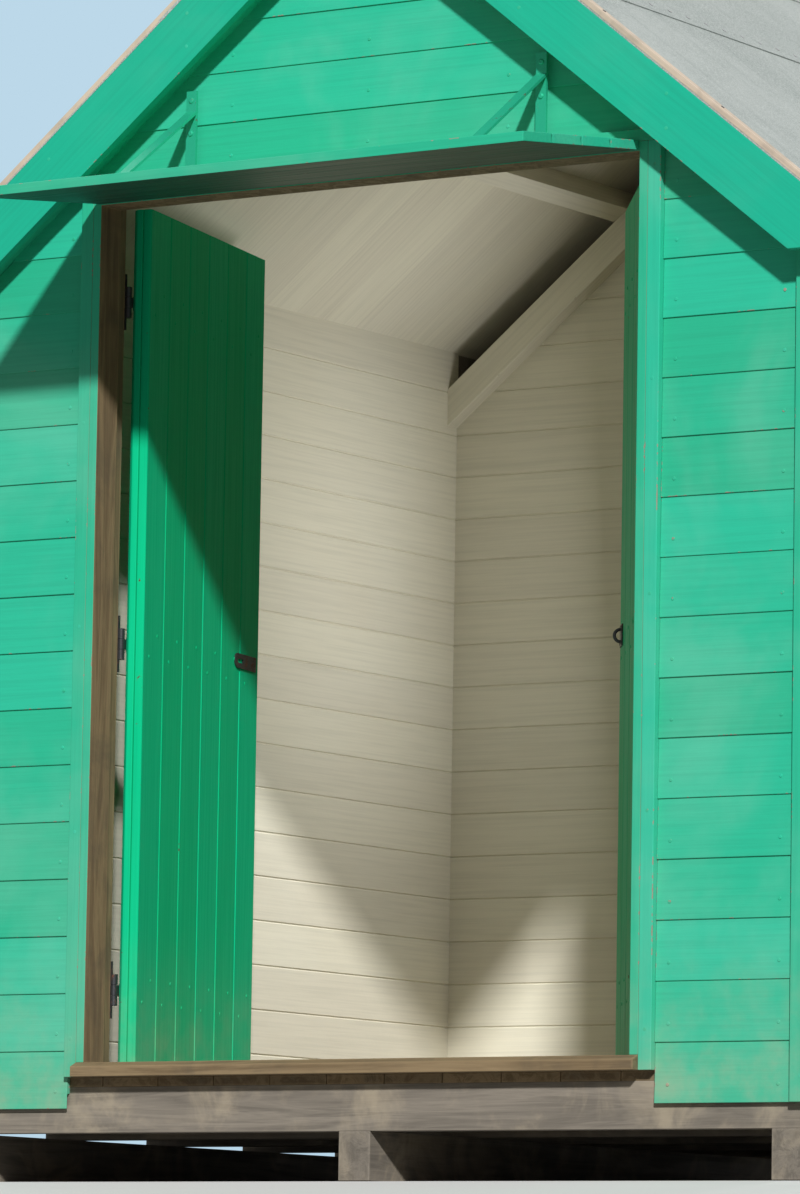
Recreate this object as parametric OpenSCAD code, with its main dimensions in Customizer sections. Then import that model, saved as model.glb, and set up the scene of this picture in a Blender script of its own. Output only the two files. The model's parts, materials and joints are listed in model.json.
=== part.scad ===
// Beach hut: a small timber hut on bearers with a pair of inward-opening doors, a rain hood over
// them and a felted pitched roof. Millimetres, +Z up, front facing -Y, standing on z = 0.

/* [Base and floor] */
// Height of the bearers that the hut stands on
bearer_h = 100; // [60:5:200]
// Width of each bearer
bearer_w = 75; // [50:5:120]
// Number of bearers, running front to back
bearer_n = 3; // [2:1:5]
// Depth of the floor joists
joist_h = 95; // [70:5:150]
// Thickness of the floor joists
joist_w = 45; // [35:1:70]
// Number of floor joists, running side to side
joist_n = 6; // [4:1:9]
// Thickness of the floor deck
deck_t = 20; // [15:1:30]

/* [Walls] */
// Width of the hut over its wall frames
wall_w = 2090; // [1900:10:2500]
// Depth of the hut over its wall frames, front to back
wall_d = 1930; // [1500:10:2800]
// Thickness of the wall frames with their lining
wall_t = 95; // [75:1:120]
// Thickness that the weatherboards take up outside the wall frames
clad_t = 20; // [14:1:28]
// Height of the lowest weatherboard edge above the ground
clad_base = 150; // [115:5:190]
// Width of each face of the corner boards
corner_w = 47; // [40:1:110]
// Distance that the corner boards stand proud of the weatherboards
corner_proud = 2; // [1:0.5:8]

/* [Doorway] */
// Clear width between the door posts
door_w = 1360; // [1250:10:1400]
// Clear height from the floor deck to the underside of the door head
door_h = 1855; // [1750:5:1900]
// Width of the door posts, as seen from the front
post_w = 30; // [25:1:60]
// Height of the door head, as seen from the front
head_h = 25; // [20:1:60]
// Distance that the posts and head stand proud of the weatherboards
post_proud = 5; // [2:1:12]
// Height of the packers under the roof above the corners of the door head
head_gap = 6; // [5:1:120]
// Thickness of the strips that the doors close against
stop_t = 20; // [12:1:28]
// Height of the threshold above the floor deck
sill_h = 30; // [20:1:45]
// Distance that the threshold reaches out beyond the posts
sill_out = 20; // [10:1:40]
// Fall of the threshold's weathered front edge
sill_fall = 9; // [4:1:14]

/* [Doors] */
// Thickness of the door boards
leaf_t = 20; // [16:1:25]
// Thickness of the ledges and braces
ledge_t = 22; // [18:1:28]
// Width of the ledges
ledge_w = 95; // [70:5:125]
// Width of the braces
brace_w = 85; // [60:5:110]
// Width of the stiles, the upright edges of the doors' frames
stile_w = 70; // [50:1:90]
// Width of the slope that clears the hinges on the stiles' edges
stile_ease = 8; // [8:0.5:12]
// Gap between each door and its post
hinge_gap = 5; // [5:0.5:8]
// Gap between the two doors when they are closed
meet_gap = 9; // [9:0.5:12]
// Gap above the doors
top_gap = 8; // [5:0.5:12]
// Gap below the doors, above the floor deck
foot_gap = 10; // [6:0.5:18]
// Gap between a closed door and its stop
stop_gap = 5; // [5:0.5:8]
// Height of the lowest ledge's underside above the foot of the door
ledge_low = 130; // [80:5:250]
// Height of the highest ledge's underside above the foot of the door
ledge_high = 1590; // [1450:5:1650]
// Angle at which the left door stands open
left_open = 103; // [70:1:110]
// Angle at which the right door stands open
right_open = 54; // [40:1:75]

/* [Hinges and door fittings] */
// Radius of the hinge pins
pin_r = 3.5; // [2.5:0.25:5]
// Running clearance round the hinge pins
pin_clear = 0.3; // [0.2:0.05:0.5]
// Outer radius of the hinge knuckles
knuckle_r = 8; // [6.5:0.25:10]
// Height of the whole hinge barrel
barrel_h = 66; // [50:1:90]
// Gap between neighbouring knuckles
knuckle_gap = 0.8; // [0.4:0.1:1.5]
// Thickness of the hinge straps and plates
strap_t = 4; // [3:0.5:5]
// Length of each hinge strap from its pin
strap_l = 330; // [220:10:420]
// Width of each strap beside its pin
strap_w = 40; // [30:1:50]
// Width of each strap at its tip
strap_tip_w = 22; // [16:1:30]
// Height of the fixed hinge plates
plate_h = 120; // [90:5:160]
// Diameter of the bolt rods
bolt_d = 12; // [8:1:16]
// Length of the bolt rods
bolt_l = 190; // [140:5:260]
// Height of the hasp above the foot of the door
hasp_h = 930; // [800:10:1100]

/* [Roof] */
// Rise of the roof for each unit of its run
roof_slope = 0.8; // [0.64:0.01:0.96]
// Thickness of the roof boards
board_t = 20; // [14:1:28]
// Thickness of the roofing felt
felt_t = 3; // [2:0.5:5]
// Overhang of the roof boards past the weatherboards, at the eaves
eaves_out = 120; // [60:5:200]
// Overhang of the roof boards past the weatherboards, at the gables
verge_out = 45; // [25:1:90]
// Width of the bargeboards, square to their slope
barge_w = 120; // [90:5:170]
// Thickness of the bargeboards and the eaves boards
barge_t = 20; // [16:1:28]
// Depth of the packers behind the bargeboards, square to their slope
packer_d = 98; // [70:1:110]
// Height of the bargeboards' level feet below the roof boards' lowest edge
foot_drop = 8; // [4:1:30]
// Depth that the felt turns down over the eaves boards
felt_lip = 26; // [15:1:40]
// Width of the battens that hold the felt at the gables
verge_strip_w = 25; // [18:1:40]
// Thickness of the battens that hold the felt at the gables
verge_strip_t = 12; // [8:1:20]
// Width of each side of the felt ridge cap
cap_w = 160; // [100:5:220]
// Thickness of the ridge board
ridge_t = 25; // [20:1:40]
// Depth of the ridge board
ridge_d = 130; // [110:5:170]
// Width of the purlins, measured level
purlin_w = 36; // [28:1:50]
// Depth of the purlins
purlin_d = 70; // [50:1:75]
// Distance of the purlins from the middle of the hut
purlin_x = 520; // [400:10:640]
// Depth of the rafters on the back wall
rafter_d = 70; // [50:1:90]
// Thickness of the rafters on the back wall
rafter_w = 45; // [35:1:60]

/* [Hood] */
// Reach of the hood beyond the weatherboards
hood_out = 445; // [300:1:600]
// Width of the hood
hood_w = 1320; // [1200:10:1400]
// Thickness of the hood board
hood_t = 20; // [14:1:28]
// Fall of the hood from the wall to its front edge
hood_fall = 55; // [20:1:90]
// Width of the hood brackets' strip
bracket_w = 25; // [18:1:35]
// Thickness of the hood brackets' strip
bracket_t = 6; // [4:0.5:8]
// Distance of the hood brackets from the middle of the hut
bracket_x = 430; // [300:5:520]
// Length of the brackets' arms on the hood
bracket_out = 330; // [200:5:420]
// Length of the brackets' legs, up from the hood
bracket_leg = 200; // [120:5:220]

/* [Hidden] */
$fn = 32;

// Paint and timber colours
green = [0.16, 0.68, 0.52];
deep_green = [0.05, 0.50, 0.36];
cream = [0.80, 0.77, 0.66];
bare_wood = [0.62, 0.46, 0.28];
grey_wood = [0.50, 0.46, 0.40];
felt_grey = [0.60, 0.63, 0.61];
iron = [0.20, 0.21, 0.22];

// Levels above the ground
joist_z = bearer_h;
deck_z = joist_z + joist_h;
floor_z = deck_z + deck_t;
head_z = floor_z + door_h;

// Half widths, measured from the middle of the hut
half_w = wall_w / 2;
half_door = door_w / 2;
half_frame = half_door + post_w;
tip_x = half_w + clad_t + eaves_out;
end_x = tip_x + barge_t;

// Roof planes: the underside of the roof boards rises to the ridge, and its packers pass just over
// the corners of the door head, which sets the height of the walls
pitch = atan(roof_slope);
packer_low = (packer_d - board_t) / cos(pitch);
apex_z = head_z + head_h + head_gap + packer_low + half_frame * roof_slope;
function under_z(x, drop = 0) = apex_z - abs(x) * roof_slope - drop / cos(pitch);
foot_z = under_z(tip_x) - foot_drop;

// Places front to back: 0 is the outer face of the front wall frame, and y0 moves the whole hut so
// that the middle of its overall depth is at the origin
hood_y = clad_t + hood_out;
barge_y = clad_t + verge_out + barge_t;
reach_front = max(hood_y, barge_y);
reach_back = wall_d + barge_y;
y0 = (reach_front - reach_back) / 2;
back_y = wall_d - wall_t;
post_y = -(clad_t + post_proud);

// Door leaves and their pins
leaf_w = half_door - hinge_gap - meet_gap / 2;
leaf_z = floor_z + foot_gap;
leaf_h = head_z - top_gap - leaf_z;
pin_x = half_door - hinge_gap / 2;
pin_y = wall_t + knuckle_r;
leaf_in = wall_t;
leaf_out = wall_t - ledge_t - leaf_t;
stop_y = leaf_out - stop_gap;
leaf_x = [half_door - hinge_gap - leaf_w, half_door - hinge_gap];
fitting_margin = 20;
ledge_z = [for (h = [ledge_low, (ledge_low + ledge_high) / 2, ledge_high]) leaf_z + h];
hinge_z = [for (z = ledge_z) z + ledge_w / 2];

// Hinges: three knuckles to a barrel, and the plate's distance from the post's outer edge
third = barrel_h / 3;
plate_margin = 2;

// Hasp and staple
fitting_t = 3;
hasp_w = 32;
hasp_l = 110;
hasp_slot = 9;
staple_r = 3.5;
staple_span = 26;
staple_plate = 46;

// Tower bolts: back plate, rod guides, the rod's place off its plate and past it, and the knob
bolt_plate_w = 40;
bolt_plate_l = 120;
guide_h = 12;
guide_wall = 3;
rod_gap = 2;
rod_tail = 10;
knob_d = 9;
knob_l = 26;

// Hood: its height over the lower edge of the top stop strip, and the share of a bracket's arm and
// leg that the strut spans
hood_rise = 2;
hood_z = head_z - stop_t + hood_rise;
strut_share = 0.8;

// A slice of the hut from front to back, whose outline is drawn across the hut
module slice(y_from, y_to) {
    translate([0, y0 + y_to, 0])
        rotate([90, 0, 0])
            linear_extrude(y_to - y_from)
                children();
}

// A length across the hut, whose outline is drawn in the front-to-back plane
module across(x_from, x_to) {
    translate([x_from, y0, 0])
        rotate([90, 0, 90])
            linear_extrude(x_to - x_from)
                children();
}

module hut_box(x, y, z) {
    translate([x[0], y0 + y[0], z[0]])
        cube([x[1] - x[0], y[1] - y[0], z[1] - z[0]]);
}

module mirror_x() {
    mirror([1, 0, 0]) children();
}

// Bearers laid on the ground, front to back
module bearers() {
    color(grey_wood)
        for (i = [0 : bearer_n - 1]) {
            x = -half_w + bearer_w / 2 + i * (wall_w - bearer_w) / (bearer_n - 1);
            hut_box([x - bearer_w / 2, x + bearer_w / 2], [0, wall_d], [0, bearer_h]);
        }
}

module floor_joists() {
    color(grey_wood)
        for (i = [0 : joist_n - 1]) {
            y = i * (wall_d - joist_w) / (joist_n - 1);
            hut_box([-half_w, half_w], [y, y + joist_w], [joist_z, deck_z]);
        }
}

module floor_deck() {
    color(bare_wood)
        hut_box([-half_w, half_w], [0, wall_d], [deck_z, floor_z]);
}

// Outline of a wall panel under the roof between two distances from the middle
module gable_panel(x_from, x_to, z_from, drop = 0) {
    middle = x_from * x_to < 0 ? [[0, under_z(0, drop)]] : [];
    polygon(concat(
        [[x_from, z_from], [x_to, z_from], [x_to, under_z(x_to, drop)]],
        middle,
        [[x_from, under_z(x_from, drop)]]
    ));
}

module front_wall_left() {
    color(green)
        slice(0, wall_t) gable_panel(-half_w, -half_frame, floor_z);
}

module front_wall_right() {
    color(green)
        slice(0, wall_t) gable_panel(half_frame, half_w, floor_z);
}

module front_gable() {
    color(green)
        slice(0, wall_t) gable_panel(-half_frame, half_frame, head_z + head_h);
}

// Back wall: open under the roof boards for the purlins' depth, full height over the side walls
module back_wall() {
    color(green)
        slice(back_y, wall_d) {
            gable_panel(-half_w, half_w, floor_z, purlin_d);
            gable_panel(half_w - wall_t, half_w, floor_z);
            gable_panel(-half_w, wall_t - half_w, floor_z);
        }
}

module side_wall() {
    slice(wall_t, back_y) gable_panel(half_w - wall_t, half_w, floor_z);
}

module side_wall_left() {
    color(green) mirror_x() side_wall();
}

module side_wall_right() {
    color(green) side_wall();
}

// One corner board: a face under the packers and a side face that runs up to the roof boards
module corner_board(front) {
    proud = clad_t + corner_proud;
    face_y = front ? [-proud, 0] : [wall_d, wall_d + proud];
    side_y = front ? [0, corner_w - proud] : [wall_d + proud - corner_w, wall_d];
    slice(face_y[0], face_y[1])
        gable_panel(half_w + proud - corner_w, half_w + proud, clad_base, packer_d - board_t);
    slice(side_y[0], side_y[1])
        gable_panel(half_w, half_w + proud, clad_base);
}

module corner_boards() {
    color(green)
        for (front = [true, false]) {
            corner_board(front);
            mirror_x() corner_board(front);
        }
}

module door_post() {
    hut_box([half_door, half_frame], [post_y, wall_t], [floor_z, head_z]);
}

module door_post_left() {
    color(bare_wood) mirror_x() door_post();
}

module door_post_right() {
    color(bare_wood) door_post();
}

module door_head() {
    color(bare_wood)
        hut_box([-half_frame, half_frame], [post_y, wall_t], [head_z, head_z + head_h]);
}

// Strips on the posts and under the head that the closed doors rest against
module door_stops() {
    color(bare_wood) {
        hut_box([half_door - stop_t, half_door], [post_y, stop_y],
            [floor_z + sill_h, head_z - stop_t]);
        hut_box([-half_door, stop_t - half_door], [post_y, stop_y],
            [floor_z + sill_h, head_z - stop_t]);
        hut_box([-half_door, half_door], [post_y, stop_y], [head_z - stop_t, head_z]);
    }
}

// Threshold with a weathered front edge
module threshold() {
    lip_y = post_y - sill_out;
    color(bare_wood)
        across(-half_door, half_door)
            polygon([
                [lip_y, floor_z], [stop_y, floor_z], [stop_y, floor_z + sill_h],
                [post_y, floor_z + sill_h], [lip_y, floor_z + sill_h - sill_fall]
            ]);
}

// Places a right-hand door piece, drawn closed, at its open angle about the pin
module hang_right(angle) {
    translate([pin_x, y0 + pin_y, 0])
        rotate([0, 0, -angle])
            translate([-pin_x, -y0 - pin_y, 0])
                children();
}

// The same for the left-hand door, which is the mirror image
module hang_left(angle) {
    mirror_x() hang_right(angle) children();
}

module leaf_boards() {
    hut_box(leaf_x, [leaf_out, leaf_out + leaf_t], [leaf_z, leaf_z + leaf_h]);
}

// One brace between two ledges, falling towards the hinges, cut off by the ledges
module brace(z_low, z_high) {
    x_free = leaf_x[0] + stile_w;
    x_hung = leaf_x[1] - stile_w;
    run = x_hung - x_free;
    climb = z_high - z_low;
    upright = brace_w * sqrt(run * run + climb * climb) / run;
    slice(leaf_in - ledge_t, leaf_in)
        intersection() {
            translate([x_free, z_low]) square([run, climb]);
            polygon([
                [x_hung, z_low - upright / 2], [x_hung, z_low + upright / 2],
                [x_free, z_high + upright / 2], [x_free, z_high - upright / 2]
            ]);
        }
}

// Stile beside the hinges, with a sloped edge that clears the hinge knuckles
module hung_stile() {
    translate([0, y0, leaf_z])
        linear_extrude(leaf_h)
            polygon([
                [leaf_x[1] - stile_w, leaf_in - ledge_t], [leaf_x[1], leaf_in - ledge_t],
                [leaf_x[1], leaf_in - stile_ease], [leaf_x[1] - stile_ease, leaf_in],
                [leaf_x[1] - stile_w, leaf_in]
            ]);
}

// Frame on the inside of a door: stiles at both edges, ledges and braces between them
module leaf_ledges() {
    hung_stile();
    hut_box([leaf_x[0], leaf_x[0] + stile_w], [leaf_in - ledge_t, leaf_in], [leaf_z, leaf_z + leaf_h]);
    for (z = ledge_z)
        hut_box([leaf_x[0] + stile_w, leaf_x[1] - stile_w], [leaf_in - ledge_t, leaf_in],
            [z, z + ledge_w]);
    for (i = [0, 1])
        brace(ledge_z[i] + ledge_w, ledge_z[i + 1]);
}

// Knuckle of a hinge between two heights about the pin
module knuckle(z_from, z_to) {
    translate([pin_x, y0 + pin_y, z_from]) cylinder(r = knuckle_r, h = z_to - z_from);
}

// Moving half of a hinge: a tapered strap with a round tip and the middle knuckle
module strap(z) {
    half_mid = third / 2 - knuckle_gap / 2;
    difference() {
        union() {
            knuckle(z - half_mid, z + half_mid);
            slice(leaf_in, leaf_in + strap_t) {
                polygon([
                    [pin_x, z - half_mid], [pin_x, z + half_mid],
                    [pin_x - 2 * knuckle_r, z + half_mid], [pin_x - 3 * knuckle_r, z + strap_w / 2],
                    [pin_x - strap_l, z + strap_tip_w / 2], [pin_x - strap_l, z - strap_tip_w / 2],
                    [pin_x - 3 * knuckle_r, z - strap_w / 2], [pin_x - 2 * knuckle_r, z - half_mid]
                ]);
                translate([pin_x - strap_l, z]) circle(d = strap_tip_w);
            }
        }
        translate([pin_x, y0 + pin_y, z - third])
            cylinder(r = pin_r + pin_clear, h = 2 * third);
    }
}

// Fixed half of a hinge: a plate on the post, the outer knuckles and the pin
module hinge_plate(z) {
    for (side = [-1, 1]) {
        low = side < 0 ? z - barrel_h / 2 : z + third / 2 + knuckle_gap / 2;
        knuckle(low, low + third - knuckle_gap / 2);
    }
    translate([pin_x, y0 + pin_y, z - barrel_h / 2])
        cylinder(r = pin_r, h = barrel_h);
    difference() {
        hut_box([pin_x, half_frame - plate_margin], [wall_t, wall_t + strap_t],
            [z - plate_h / 2, z + plate_h / 2]);
        translate([pin_x, y0 + pin_y, z - third / 2 - knuckle_gap / 2])
            cylinder(r = knuckle_r + knuckle_gap, h = third + knuckle_gap);
    }
}

module hinge_plates() {
    for (z = hinge_z) hinge_plate(z);
}

module hinge_plates_left() {
    color(iron) mirror_x() hinge_plates();
}

module hinge_plates_right() {
    color(iron) hinge_plates();
}

module door_left_boards() {
    color(deep_green) hang_left(left_open) leaf_boards();
}

module door_left_ledges() {
    color(deep_green) hang_left(left_open) leaf_ledges();
}

module door_left_straps() {
    color(iron) hang_left(left_open) for (z = hinge_z) strap(z);
}

module door_right_boards() {
    color(deep_green) hang_right(right_open) leaf_boards();
}

module door_right_ledges() {
    color(deep_green) hang_right(right_open) leaf_ledges();
}

module door_right_straps() {
    color(iron) hang_right(right_open) for (z = hinge_z) strap(z);
}

// Hasp folded back on the outer face of the left door
module door_left_hasp() {
    z = leaf_z + hasp_h;
    x = leaf_x[0] + fitting_margin;
    y = leaf_out - fitting_t;
    color(iron)
        hang_left(left_open)
            slice(y, leaf_out)
                difference() {
                    union() {
                        translate([x, z - hasp_w / 2]) square([hasp_l, hasp_w]);
                        translate([x + hasp_l, z]) circle(d = hasp_w);
                    }
                    translate([x + hasp_l - hasp_w, z - hasp_slot / 2]) square([hasp_w, hasp_slot]);
                }
}

// Staple on the outer face of the right door: a plate with a round loop
module door_right_staple() {
    z = leaf_z + hasp_h;
    x = leaf_x[0] + fitting_margin + staple_plate / 2;
    color(iron)
        hang_right(right_open) {
            hut_box([x - staple_plate / 2, x + staple_plate / 2], [leaf_out - fitting_t, leaf_out],
                [z - staple_plate / 2, z + staple_plate / 2]);
            translate([x, y0 + leaf_out - fitting_t, z])
                rotate([0, -90, 0])
                    intersection() {
                        rotate_extrude()
                            translate([staple_span / 2, 0]) circle(r = staple_r);
                        translate([-staple_span, -staple_span, -staple_r])
                            cube([2 * staple_span, staple_span + fitting_t / 2, 2 * staple_r]);
                    }
        }
}

// Tower bolt on the inner face of the right door: a plate, two guides, the rod and its knob
module tower_bolt(z, up) {
    x = leaf_x[0] + fitting_margin + bolt_plate_w / 2;
    plate_y = leaf_in + fitting_t;
    rod_y = plate_y + rod_gap + bolt_d / 2;
    tail = bolt_plate_l / 2 + rod_tail;
    guide_x = bolt_d / 2 + guide_wall;
    hut_box([x - bolt_plate_w / 2, x + bolt_plate_w / 2], [leaf_in, plate_y],
        [z - bolt_plate_l / 2, z + bolt_plate_l / 2]);
    for (side = [-1, 1]) {
        guide_z = z + side * bolt_plate_l / 3;
        hut_box([x - guide_x, x + guide_x], [plate_y, rod_y + guide_x],
            [guide_z - guide_h / 2, guide_z + guide_h / 2]);
    }
    translate([x, y0 + rod_y, up ? z - tail : z + tail - bolt_l]) cylinder(d = bolt_d, h = bolt_l);
    translate([x, y0 + rod_y, z])
        rotate([-90, 0, 0]) cylinder(d = knob_d, h = knob_l);
}

module door_right_bolts() {
    color(iron)
        hang_right(right_open) {
            tower_bolt(hinge_z[2], true);
            tower_bolt(hinge_z[0], false);
        }
}

module ridge_board() {
    x = ridge_t / 2;
    color(cream)
        slice(wall_t, back_y)
            polygon([[-x, apex_z - ridge_d], [x, apex_z - ridge_d], [x, under_z(x)], [0, apex_z],
                [-x, under_z(x)]]);
}

// Purlin under the roof boards, from the front gable over the back wall
module purlin() {
    x = [purlin_x - purlin_w / 2, purlin_x + purlin_w / 2];
    dx = purlin_d * sin(pitch);
    dz = purlin_d * cos(pitch);
    slice(wall_t, wall_d)
        polygon([
            [x[0], under_z(x[0])], [x[0] - dx, under_z(x[0]) - dz],
            [x[1] - dx, under_z(x[1]) - dz], [x[1], under_z(x[1])]
        ]);
}

module purlins() {
    color(cream) {
        purlin();
        mirror_x() purlin();
    }
}

// Rafter on the back wall, under the purlins, from the ridge board to the side wall
module back_rafter() {
    x = [ridge_t / 2, half_w - wall_t];
    low = purlin_d + rafter_d;
    slice(back_y - rafter_w, back_y)
        polygon([
            [x[0], under_z(x[0], low)], [x[1], under_z(x[1], low)],
            [x[1], under_z(x[1], purlin_d)], [x[0], under_z(x[0], purlin_d)]
        ]);
}

module back_rafters() {
    color(cream) {
        back_rafter();
        mirror_x() back_rafter();
    }
}

// A layer that follows the right-hand roof slope, given by its heights above the boards' underside
module slope_layer(x_from, x_to, from, to) {
    polygon([
        [x_from, under_z(x_from, -from)], [x_to, under_z(x_to, -from)],
        [x_to, under_z(x_to, -to)], [x_from, under_z(x_from, -to)]
    ]);
}

module roof_boards() {
    over = clad_t + verge_out;
    slice(-over, wall_d + over) slope_layer(0, tip_x, 0, board_t);
}

module roof_boards_left() {
    color(cream) mirror_x() roof_boards();
}

module roof_boards_right() {
    color(cream) roof_boards();
}

// Felt over the boards and the bargeboards, turned down over the eaves board
module felt() {
    top = under_z(end_x, -board_t);
    slice(-barge_y, wall_d + barge_y) {
        slope_layer(0, end_x + felt_t, board_t, board_t + felt_t);
        polygon([
            [end_x, top - felt_lip], [end_x + felt_t, top - felt_lip],
            [end_x + felt_t, under_z(end_x + felt_t, -board_t - felt_t)],
            [end_x, under_z(end_x, -board_t - felt_t)]
        ]);
    }
}

module felt_left() {
    color(felt_grey) mirror_x() felt();
}

module felt_right() {
    color(felt_grey) felt();
}

module ridge_cap() {
    x = cap_w * cos(pitch);
    from = board_t + felt_t;
    color(felt_grey)
        slice(verge_strip_w - barge_y, wall_d + barge_y - verge_strip_w)
            polygon([
                [0, under_z(0, -from)], [x, under_z(x, -from)], [x, under_z(x, -from - felt_t)],
                [0, under_z(0, -from - felt_t)],
                [-x, under_z(x, -from - felt_t)], [-x, under_z(x, -from)]
            ]);
}

// Battens on the felt along the four bargeboards
module verge_strips() {
    from = board_t + felt_t;
    color(bare_wood)
        for (y = [-barge_y, wall_d + barge_y - verge_strip_w]) {
            slice(y, y + verge_strip_w) slope_layer(0, end_x, from, from + verge_strip_t);
            slice(y, y + verge_strip_w)
                mirror([1, 0]) slope_layer(0, end_x, from, from + verge_strip_t);
        }
}

// Packer behind a bargeboard, under the roof boards, against the gable
module barge_packer() {
    x = half_w + clad_t;
    drop = packer_d - board_t;
    polygon([[0, under_z(0, drop)], [x, under_z(x, drop)], [x, under_z(x)], [0, apex_z]]);
}

module barge_packers(y_from, y_to) {
    slice(y_from, y_to) barge_packer();
    slice(y_from, y_to) mirror([1, 0]) barge_packer();
}

module barge_packers_front() {
    color(deep_green)
        barge_packers(-clad_t - verge_out, 0);
}

module barge_packers_back() {
    color(deep_green)
        barge_packers(wall_d, wall_d + clad_t + verge_out);
}

// Bargeboard: plumb cut at the ridge, level foot, short plumb end at the eaves board
module barge_outline() {
    low = barge_w - board_t;
    foot_x = (under_z(0, low) - foot_z) / roof_slope;
    polygon([
        [0, under_z(0, low)], [foot_x, foot_z], [end_x, foot_z],
        [end_x, under_z(end_x, -board_t)], [0, under_z(0, -board_t)]
    ]);
}

module bargeboard_front_left() {
    color(green) slice(-barge_y, barge_t - barge_y) mirror([1, 0]) barge_outline();
}

module bargeboard_front_right() {
    color(green) slice(-barge_y, barge_t - barge_y) barge_outline();
}

module bargeboard_back_left() {
    color(green) slice(wall_d + barge_y - barge_t, wall_d + barge_y) mirror([1, 0]) barge_outline();
}

module bargeboard_back_right() {
    color(green) slice(wall_d + barge_y - barge_t, wall_d + barge_y) barge_outline();
}

// Eaves board on the edge of the roof boards, between the bargeboards
module eaves_board() {
    over = clad_t + verge_out;
    slice(-over, wall_d + over)
        polygon([
            [tip_x, foot_z], [end_x, foot_z],
            [end_x, under_z(end_x, -board_t)], [tip_x, under_z(tip_x, -board_t)]
        ]);
}

module eaves_board_left() {
    color(green) mirror_x() eaves_board();
}

module eaves_board_right() {
    color(green) eaves_board();
}

function hood_under(y) = hood_z + (y - post_y) * hood_fall / (hood_y + post_y);

// Hood over the doors, fixed to the door head and falling to the front
module hood_board() {
    color(green)
        across(-hood_w / 2, hood_w / 2)
            polygon([
                [-hood_y, hood_under(-hood_y)], [post_y, hood_under(post_y)],
                [post_y, hood_under(post_y) + hood_t], [-hood_y, hood_under(-hood_y) + hood_t]
            ]);
}

function hood_top(y) = hood_under(y) + hood_t;

// Bracket of flat steel over the hood: a leg on the door head, an arm on the hood and a strut
module hood_bracket() {
    foot_y = post_y - bracket_t;
    arm_y = post_y - bracket_out;
    leg_z = hood_top(post_y) + bracket_leg;
    strut_y = post_y - strut_share * bracket_out;
    strut_z = hood_top(post_y) + strut_share * bracket_leg;
    upright = bracket_t * sqrt(bracket_out * bracket_out + bracket_leg * bracket_leg) / bracket_out;
    across(bracket_x - bracket_w / 2, bracket_x + bracket_w / 2) {
        polygon([
            [foot_y, hood_top(foot_y)], [post_y, hood_top(post_y)], [post_y, leg_z], [foot_y, leg_z]
        ]);
        polygon([
            [arm_y, hood_top(arm_y)], [post_y, hood_top(post_y)],
            [post_y, hood_top(post_y) + bracket_t], [arm_y, hood_top(arm_y) + bracket_t]
        ]);
        polygon([
            [strut_y, hood_top(strut_y)], [post_y, strut_z - upright],
            [post_y, strut_z], [strut_y, hood_top(strut_y) + upright]
        ]);
    }
}

module hood_brackets() {
    color(green) {
        hood_bracket();
        mirror_x() hood_bracket();
    }
}

bearers();
floor_joists();
floor_deck();
front_wall_left();
front_wall_right();
front_gable();
back_wall();
side_wall_left();
side_wall_right();
corner_boards();
door_post_left();
door_post_right();
door_head();
door_stops();
threshold();
door_left_boards();
door_left_ledges();
door_left_straps();
door_left_hasp();
door_right_boards();
door_right_ledges();
door_right_straps();
door_right_bolts();
door_right_staple();
hinge_plates_left();
hinge_plates_right();
ridge_board();
purlins();
back_rafters();
roof_boards_left();
roof_boards_right();
felt_left();
felt_right();
ridge_cap();
verge_strips();
barge_packers_front();
barge_packers_back();
bargeboard_front_left();
bargeboard_front_right();
bargeboard_back_left();
bargeboard_back_right();
eaves_board_left();
eaves_board_right();
hood_board();
hood_brackets();
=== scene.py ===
"""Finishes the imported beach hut: weatherboards, lining, felt, door boards, nails, paint and timber.

Metres, +Z up, the doorway facing -Y, the ground at z = 0.
"""

import json
import math
import random

import bmesh
import bpy
from bpy.props import FloatProperty, FloatVectorProperty, IntProperty, PointerProperty
from mathutils import Matrix, Vector

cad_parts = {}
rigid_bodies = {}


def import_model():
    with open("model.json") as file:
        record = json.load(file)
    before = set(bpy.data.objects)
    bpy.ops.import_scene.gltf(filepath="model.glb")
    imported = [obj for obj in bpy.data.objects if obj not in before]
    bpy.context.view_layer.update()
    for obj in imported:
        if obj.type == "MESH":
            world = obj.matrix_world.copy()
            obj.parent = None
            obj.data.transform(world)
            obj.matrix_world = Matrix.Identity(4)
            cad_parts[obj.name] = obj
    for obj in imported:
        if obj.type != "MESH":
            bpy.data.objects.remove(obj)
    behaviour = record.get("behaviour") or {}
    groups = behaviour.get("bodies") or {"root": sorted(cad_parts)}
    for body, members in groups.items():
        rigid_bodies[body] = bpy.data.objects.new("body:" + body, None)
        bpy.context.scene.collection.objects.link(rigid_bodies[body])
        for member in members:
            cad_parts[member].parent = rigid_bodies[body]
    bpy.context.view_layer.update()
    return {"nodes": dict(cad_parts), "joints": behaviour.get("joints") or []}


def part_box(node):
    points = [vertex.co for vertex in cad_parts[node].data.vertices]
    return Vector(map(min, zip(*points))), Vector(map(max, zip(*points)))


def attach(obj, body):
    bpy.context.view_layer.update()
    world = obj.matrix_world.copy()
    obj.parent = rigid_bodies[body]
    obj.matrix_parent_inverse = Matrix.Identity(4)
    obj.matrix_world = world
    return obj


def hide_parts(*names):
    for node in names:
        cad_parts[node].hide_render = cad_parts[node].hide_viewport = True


bl_info = {
    "name": "Beach Hut Finish",
    "version": (1, 0, 0),
    "blender": (4, 5, 0),
    "location": "View3D > Sidebar > Beach Hut",
    "description": "Boards, felt, fittings, paint and timber for a small beach hut",
    "category": "Object",
}

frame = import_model()
NODES = frame["nodes"]
HINGES = {joint["name"]: joint for joint in frame["joints"]}
SIDES = {"left": -1, "right": 1}
AXIS_Z = Vector((0, 0, 1))

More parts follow.
